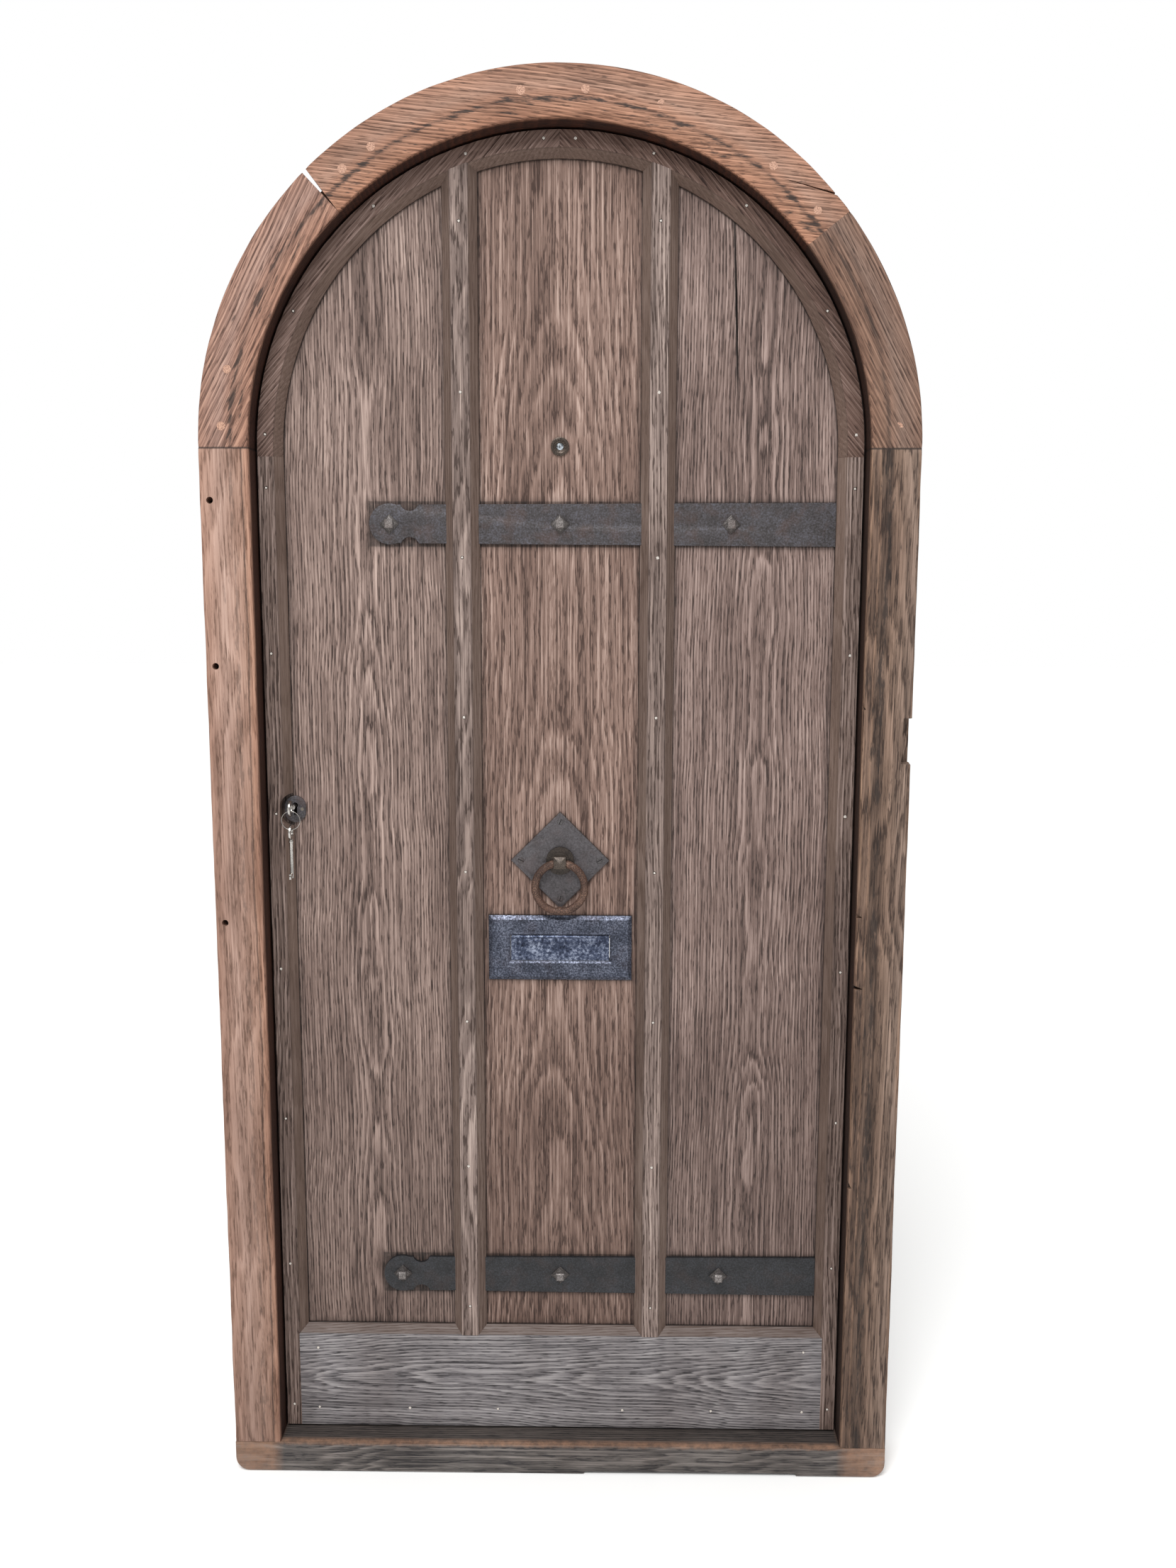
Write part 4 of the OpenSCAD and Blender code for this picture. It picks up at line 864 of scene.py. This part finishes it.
def scatter(node, meshes, y, mat, slotName, seed, spin=math.pi, sizes=(0.9, 1.1)):
    # one pattern, joined from its meshes, at each of a node's solids
    joined = bmesh.new()
    for mesh in meshes:
        joined.from_mesh(mesh)
    pattern = bpy.data.objects.new("pattern", bpy.data.meshes.new("pattern"))
    joined.to_mesh(pattern.data)
    joined.free()
    bpy.context.scene.collection.objects.link(pattern)
    points = bpy.data.meshes.new("points")
    points.from_pydata([(p.x, y, p.z) for p in middles(node)], [], [])
    mesh = withTree(points, scatterTree, {"Pattern": pattern, "Material": mat, "Spin": spin,
                                          "Smallest": sizes[0], "Largest": sizes[1], "Seed": seed})
    bpy.data.objects.remove(pattern)
    return addPiece(node + "Worn", mesh, frame["nodes"][node]["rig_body"], mat, slotName, node)


def turned(profile, sides, wobble=0, seed=0):
    # a round solid along Y from (radius, y) pairs
    rim = [(math.tau * k / sides, 1 + wobble * noise.noise((k * 1.7, seed, 0)),
            1 + wobble * noise.noise((k * 1.7, seed, 3))) for k in range(sides)]
    return loft([[Vector((r * a * math.cos(turn), y, r * b * math.sin(turn))) for turn, a, b in rim]
                 for r, y in profile])


def squared(profile, turn, soft=0.8 * mm):
    # a square solid along Y from (half side, y) pairs
    loops = []
    for half, y in profile:
        corners = [(half * a, half * b) for a, b in ((-1, -1), (1, -1), (1, 1), (-1, 1))]
        loop = roundLoop(corners, [min(soft, half / 3)] * 4, [1] * 4, 2)
        spun = Matrix.Rotation(math.radians(turn), 2)
        loops.append([Vector(((spun @ p).x, y, (spun @ p).y)) for p in loop])
    return loft(loops)


print("fixings")
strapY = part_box("strap_upper")[0].y
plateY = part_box("knocker_plate")[0].y
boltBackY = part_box("strap_bolts")[1].y
scatter("strip_nails", [turned([(2.3 * mm, 1.5 * mm), (2.3 * mm, 0), (1.7 * mm, -0.22 * mm)], 11, 0.5, 4)],
        stripY, filler, "nail_steel", 5, sizes=(0.65, 1.0))
scatter("frame_pegs", [turned([(6.6 * mm, backY - frontY), (6.8 * mm, 0.5 * mm), (6.4 * mm, 0)], 14, 0.12, 9)],
        frontY + 0.02 * mm, endGrain, "peg_oak", 7, sizes=(0.9, 1.0))
scatter("strap_bolts", [squared([(10.6 * mm, 1 * mm), (10.6 * mm, -1 * mm), (7.2 * mm, -3.6 * mm)], 45),
                        squared([(6.4 * mm, -1.5 * mm), (6.2 * mm, -9.0 * mm), (5.0 * mm, -10.4 * mm)], 0,
                                0.5 * mm),
                        turned([(5 * mm, boltBackY - strapY), (5 * mm, 0)], 20)],
        strapY, metal["boltIron"], "strap_iron", 3, spin=0.06, sizes=(0.95, 1.0))
screwHead = cutAway(turned([(4.6 * mm, 3 * mm), (4.8 * mm, 0), (3.6 * mm, -0.45 * mm)], 24),
                    [boxMesh((-6 * mm, -1 * mm, -0.6 * mm), (6 * mm, 0.7 * mm, 0.6 * mm))])
scatter("knocker_screws", [screwHead, turned([(2.2 * mm, 18 * mm), (2.2 * mm, 2.5 * mm)], 16)], plateY,
        metal["screwIron"], "plate_iron", 8, sizes=(1.02, 1.05))

print("ironwork")
for node, look, slotName, width in (
        ("strap_upper", "forgedIron", "strap_iron", 0.8), ("strap_lower", "lowStrapIron", "strap_iron", 0.8),
        ("knocker_plate", "plateIron", "plate_iron", 0.7), ("knocker_stud", "studIron", "rusty_iron", 0.5),
        ("letter_flap", "castFlap", "letter_iron", 0.7), ("escutcheon", "forgedIron", "strap_iron", 0.5),
        ("key", "nickel", "key_nickel", 0.25), ("spare_key", "nickel", "key_nickel", 0.25),
        ("viewer_barrel", "bronze", "viewer_bronze", 0.4)):
    softCopy(node, width, metal[look], slotName)

ringLook = dict(wire=5.9 * mm, neck=4.0 * mm, steps=120, sides=20)
ringLow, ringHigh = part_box("knocker_ring")


def knockerRing():
    # a forged ring, thin at the stud, its two ends welded in a lump at the foot
    centre = (ringLow + ringHigh) / 2
    bend = (ringHigh.x - ringLow.x) / 2 - ringLook["wire"]
    loops = []
    for i in range(ringLook["steps"]):
        angle = math.tau * i / ringLook["steps"]
        fromTop = abs((angle - math.pi / 2 + math.pi) % math.tau - math.pi)
        fromFoot = math.pi - fromTop
        share = min(1, max(0, (fromTop - 0.16) / 0.14))
        wire = ringLook["neck"] + (ringLook["wire"] - ringLook["neck"]) * share * share * (3 - 2 * share)
        weld = math.exp(-(fromFoot / 0.09) ** 2)
        wire += 0.9 * mm * weld - 0.5 * mm * math.exp(-((fromFoot - 0.24) / 0.09) ** 2)
        away = bend - 1.3 * mm * weld
        loop = []
        for k in range(ringLook["sides"]):
            turn = math.tau * k / ringLook["sides"]
            out = Vector((math.cos(angle), 0, math.sin(angle)))
            spot = centre + out * (away + wire * math.cos(turn)) + Vector((0, wire * math.sin(turn), 0))
            dent = noise.noise(spot * 190) * 0.28 + noise.noise(spot * 520) * 0.12
            outward = out * math.cos(turn) + Vector((0, math.sin(turn), 0))
            loop.append(spot - outward * max(0, dent) * mm * share)
        loops.append(loop)
    return loft(loops, closed=True)


def doubleCoil():
    # the split ring: two turns of thin wire, one on the other
    low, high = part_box("split_ring")
    centre, thick = (low + high) / 2, (high.y - low.y) / 2
    bend, wire = (high.x - low.x) / 2 - thick * 0.55, thick * 0.5
    loops = []
    for i in range(121):
        angle = 2 * math.tau * i / 120 + 0.6
        out = Vector((math.cos(angle), 0, math.sin(angle)))
        spot = centre + out * bend + Vector((0, thick * 0.48 * (2 * i / 120 - 1), 0))
        loops.append([spot + (out * math.cos(t) + Vector((0, math.sin(t), 0))) * wire
                      for t in (math.tau * k / 10 for k in range(10))])
    return loft(loops)


plateLook = dict(bevel=6 * mm, lip=3.2 * mm, pitch=6 * mm)


def letterPlate():
    # a cast frame with a broad bevel outside and a narrow moulded one round the flap
    halfX, halfZ = (letterHigh.x - letterLow.x) / 2, (letterHigh.z - letterLow.z) / 2
    flapLow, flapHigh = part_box("letter_flap")
    slotX, slotZ = flapHigh.x + 0.6 * mm, (flapHigh.z - flapLow.z) / 2 + 0.4 * mm
    face, lip = letterLow.y, plateLook["lip"]
    rows = [(halfX, halfZ, letterHigh.y), (halfX, halfZ, face + 4.4 * mm),
            (halfX - plateLook["bevel"], halfZ - plateLook["bevel"], face + 0.5 * mm),
            (halfX - plateLook["bevel"] - 1.2 * mm, halfZ - plateLook["bevel"] - 1.2 * mm, face + 0.9 * mm),
            (slotX + lip + 2.2 * mm, slotZ + lip + 2.2 * mm, face + 0.9 * mm),
            (slotX + lip, slotZ + lip, face), (slotX + 0.8 * mm, slotZ + 0.8 * mm, face + 1.6 * mm),
            (slotX, slotZ, face + 2.4 * mm), (slotX, slotZ, letterHigh.y)]
    outline = [(-halfX, -halfZ), (halfX, -halfZ), (halfX, halfZ), (-halfX, halfZ)]
    counts = flatCounts(outline, plateLook["pitch"])
    loops = []
    for x, z, y in rows:
        corners = [(-x, -z), (x, -z), (x, z), (-x, z)]
        loop = roundLoop(corners, [0.8 * mm] * 4, counts, 2)
        loops.append([Vector((p.x, y + (0.35 * mm * max(0, noise.noise((p.x * 60, y * 90, p.y * 60)))
                                        if y < letterHigh.y else 0), letterZ + p.y)) for p in loop])
    return loft(loops, closed=True)


addPiece("knockerRing", knockerRing(), "knocker", metal["rustyIron"], "rusty_iron", "knocker_ring")
addPiece("splitRing", doubleCoil(), "ring", metal["nickel"], "key_nickel", "split_ring")
addPiece("letterPlate", letterPlate(), "leaf", metal["castPlate"], "letter_iron", "letter_plate")

# --- Materials on the CAD nodes that stay ---
nodeMaterials = {
    "board_left": oak["boardLeft"], "board_middle": oak["boardMiddle"], "board_right": oak["boardRight"],
    "arch_tenons": endGrain, "viewer_lens": lensGlass, "viewer_sleeve": metal["bronze"]}
for name, node in frame["nodes"].items():
    mat = nodeMaterials.get(name, metal["lockSteel"])
    node.data.materials.clear()
    node.data.materials.append(mat)

# --- Stage ---
floorMat, floorTree = startMaterial("pale floor")
finishMaterial(floorTree, linear("#fcfcfb"), 0.9)
floorMesh = bpy.data.meshes.new("floor")
floorHalf = 20
floorMesh.from_pydata([(x * floorHalf, y * floorHalf, -1 * mm)
                       for x, y in ((-1, -1), (1, -1), (1, 1), (-1, 1))], [], [(0, 1, 2, 3)])
floorMesh.materials.append(floorMat)
floor = bpy.data.objects.new("floor", floorMesh)
bpy.context.scene.collection.objects.link(floor)

lamps = [dict(name="skyLight", kind="SUN", at=(-0.4, -2.2, 4.2), size=0.6, power=1.5),
         dict(name="keyLamp", kind="AREA", at=(-0.6, -2.9, 4.0), size=1.2, power=62)]
for lamp in lamps:
    data = bpy.data.lights.new(lamp["name"], lamp["kind"])
    if lamp["kind"] == "SUN":
        data.angle = lamp["size"]
    else:
        data.size = lamp["size"]
    data.energy = lamp["power"]
    light = bpy.data.objects.new(lamp["name"], data)
    light.location = lamp["at"]
    light.rotation_euler = (Vector((0, 0, 1.1)) - light.location).to_track_quat("-Z", "Y").to_euler()
    bpy.context.scene.collection.objects.link(light)

# the sky is white to look at and softer to stand in
world = bpy.data.worlds.new("studio")
world.use_nodes = True
sky = world.node_tree
sky.nodes.clear()
seen = addNode(sky, "ShaderNodeLightPath").node.outputs["Is Camera Ray"]
strength = remap(sky, seen, 0, 1, 0.70, 1.0)
shine = addNode(sky, "ShaderNodeBackground", {"Color": (1, 1, 1, 1), "Strength": strength})
addNode(sky, "ShaderNodeOutputWorld", {"Surface": shine})
bpy.context.scene.world = world
bpy.context.scene.view_settings.view_transform = "Standard"

# angles in degrees
cameraLook = dict(at=(0.072, -2.092, 1.426), lens=31.915, sensor=36, pan=0.81, tilt=81.46, roll=0.15)
cameraData = bpy.data.cameras.new("camera")
cameraData.sensor_width = cameraLook["sensor"]
cameraData.lens = cameraLook["lens"]
camera = bpy.data.objects.new("camera", cameraData)
bpy.context.scene.collection.objects.link(camera)
pan, tilt, roll = (Matrix.Rotation(math.radians(cameraLook[key]), 4, axis)
                   for key, axis in (("pan", "Z"), ("tilt", "X"), ("roll", "Z")))
camera.matrix_world = Matrix.Translation(cameraLook["at"]) @ pan @ tilt @ roll
bpy.context.scene.camera = camera

print("done")
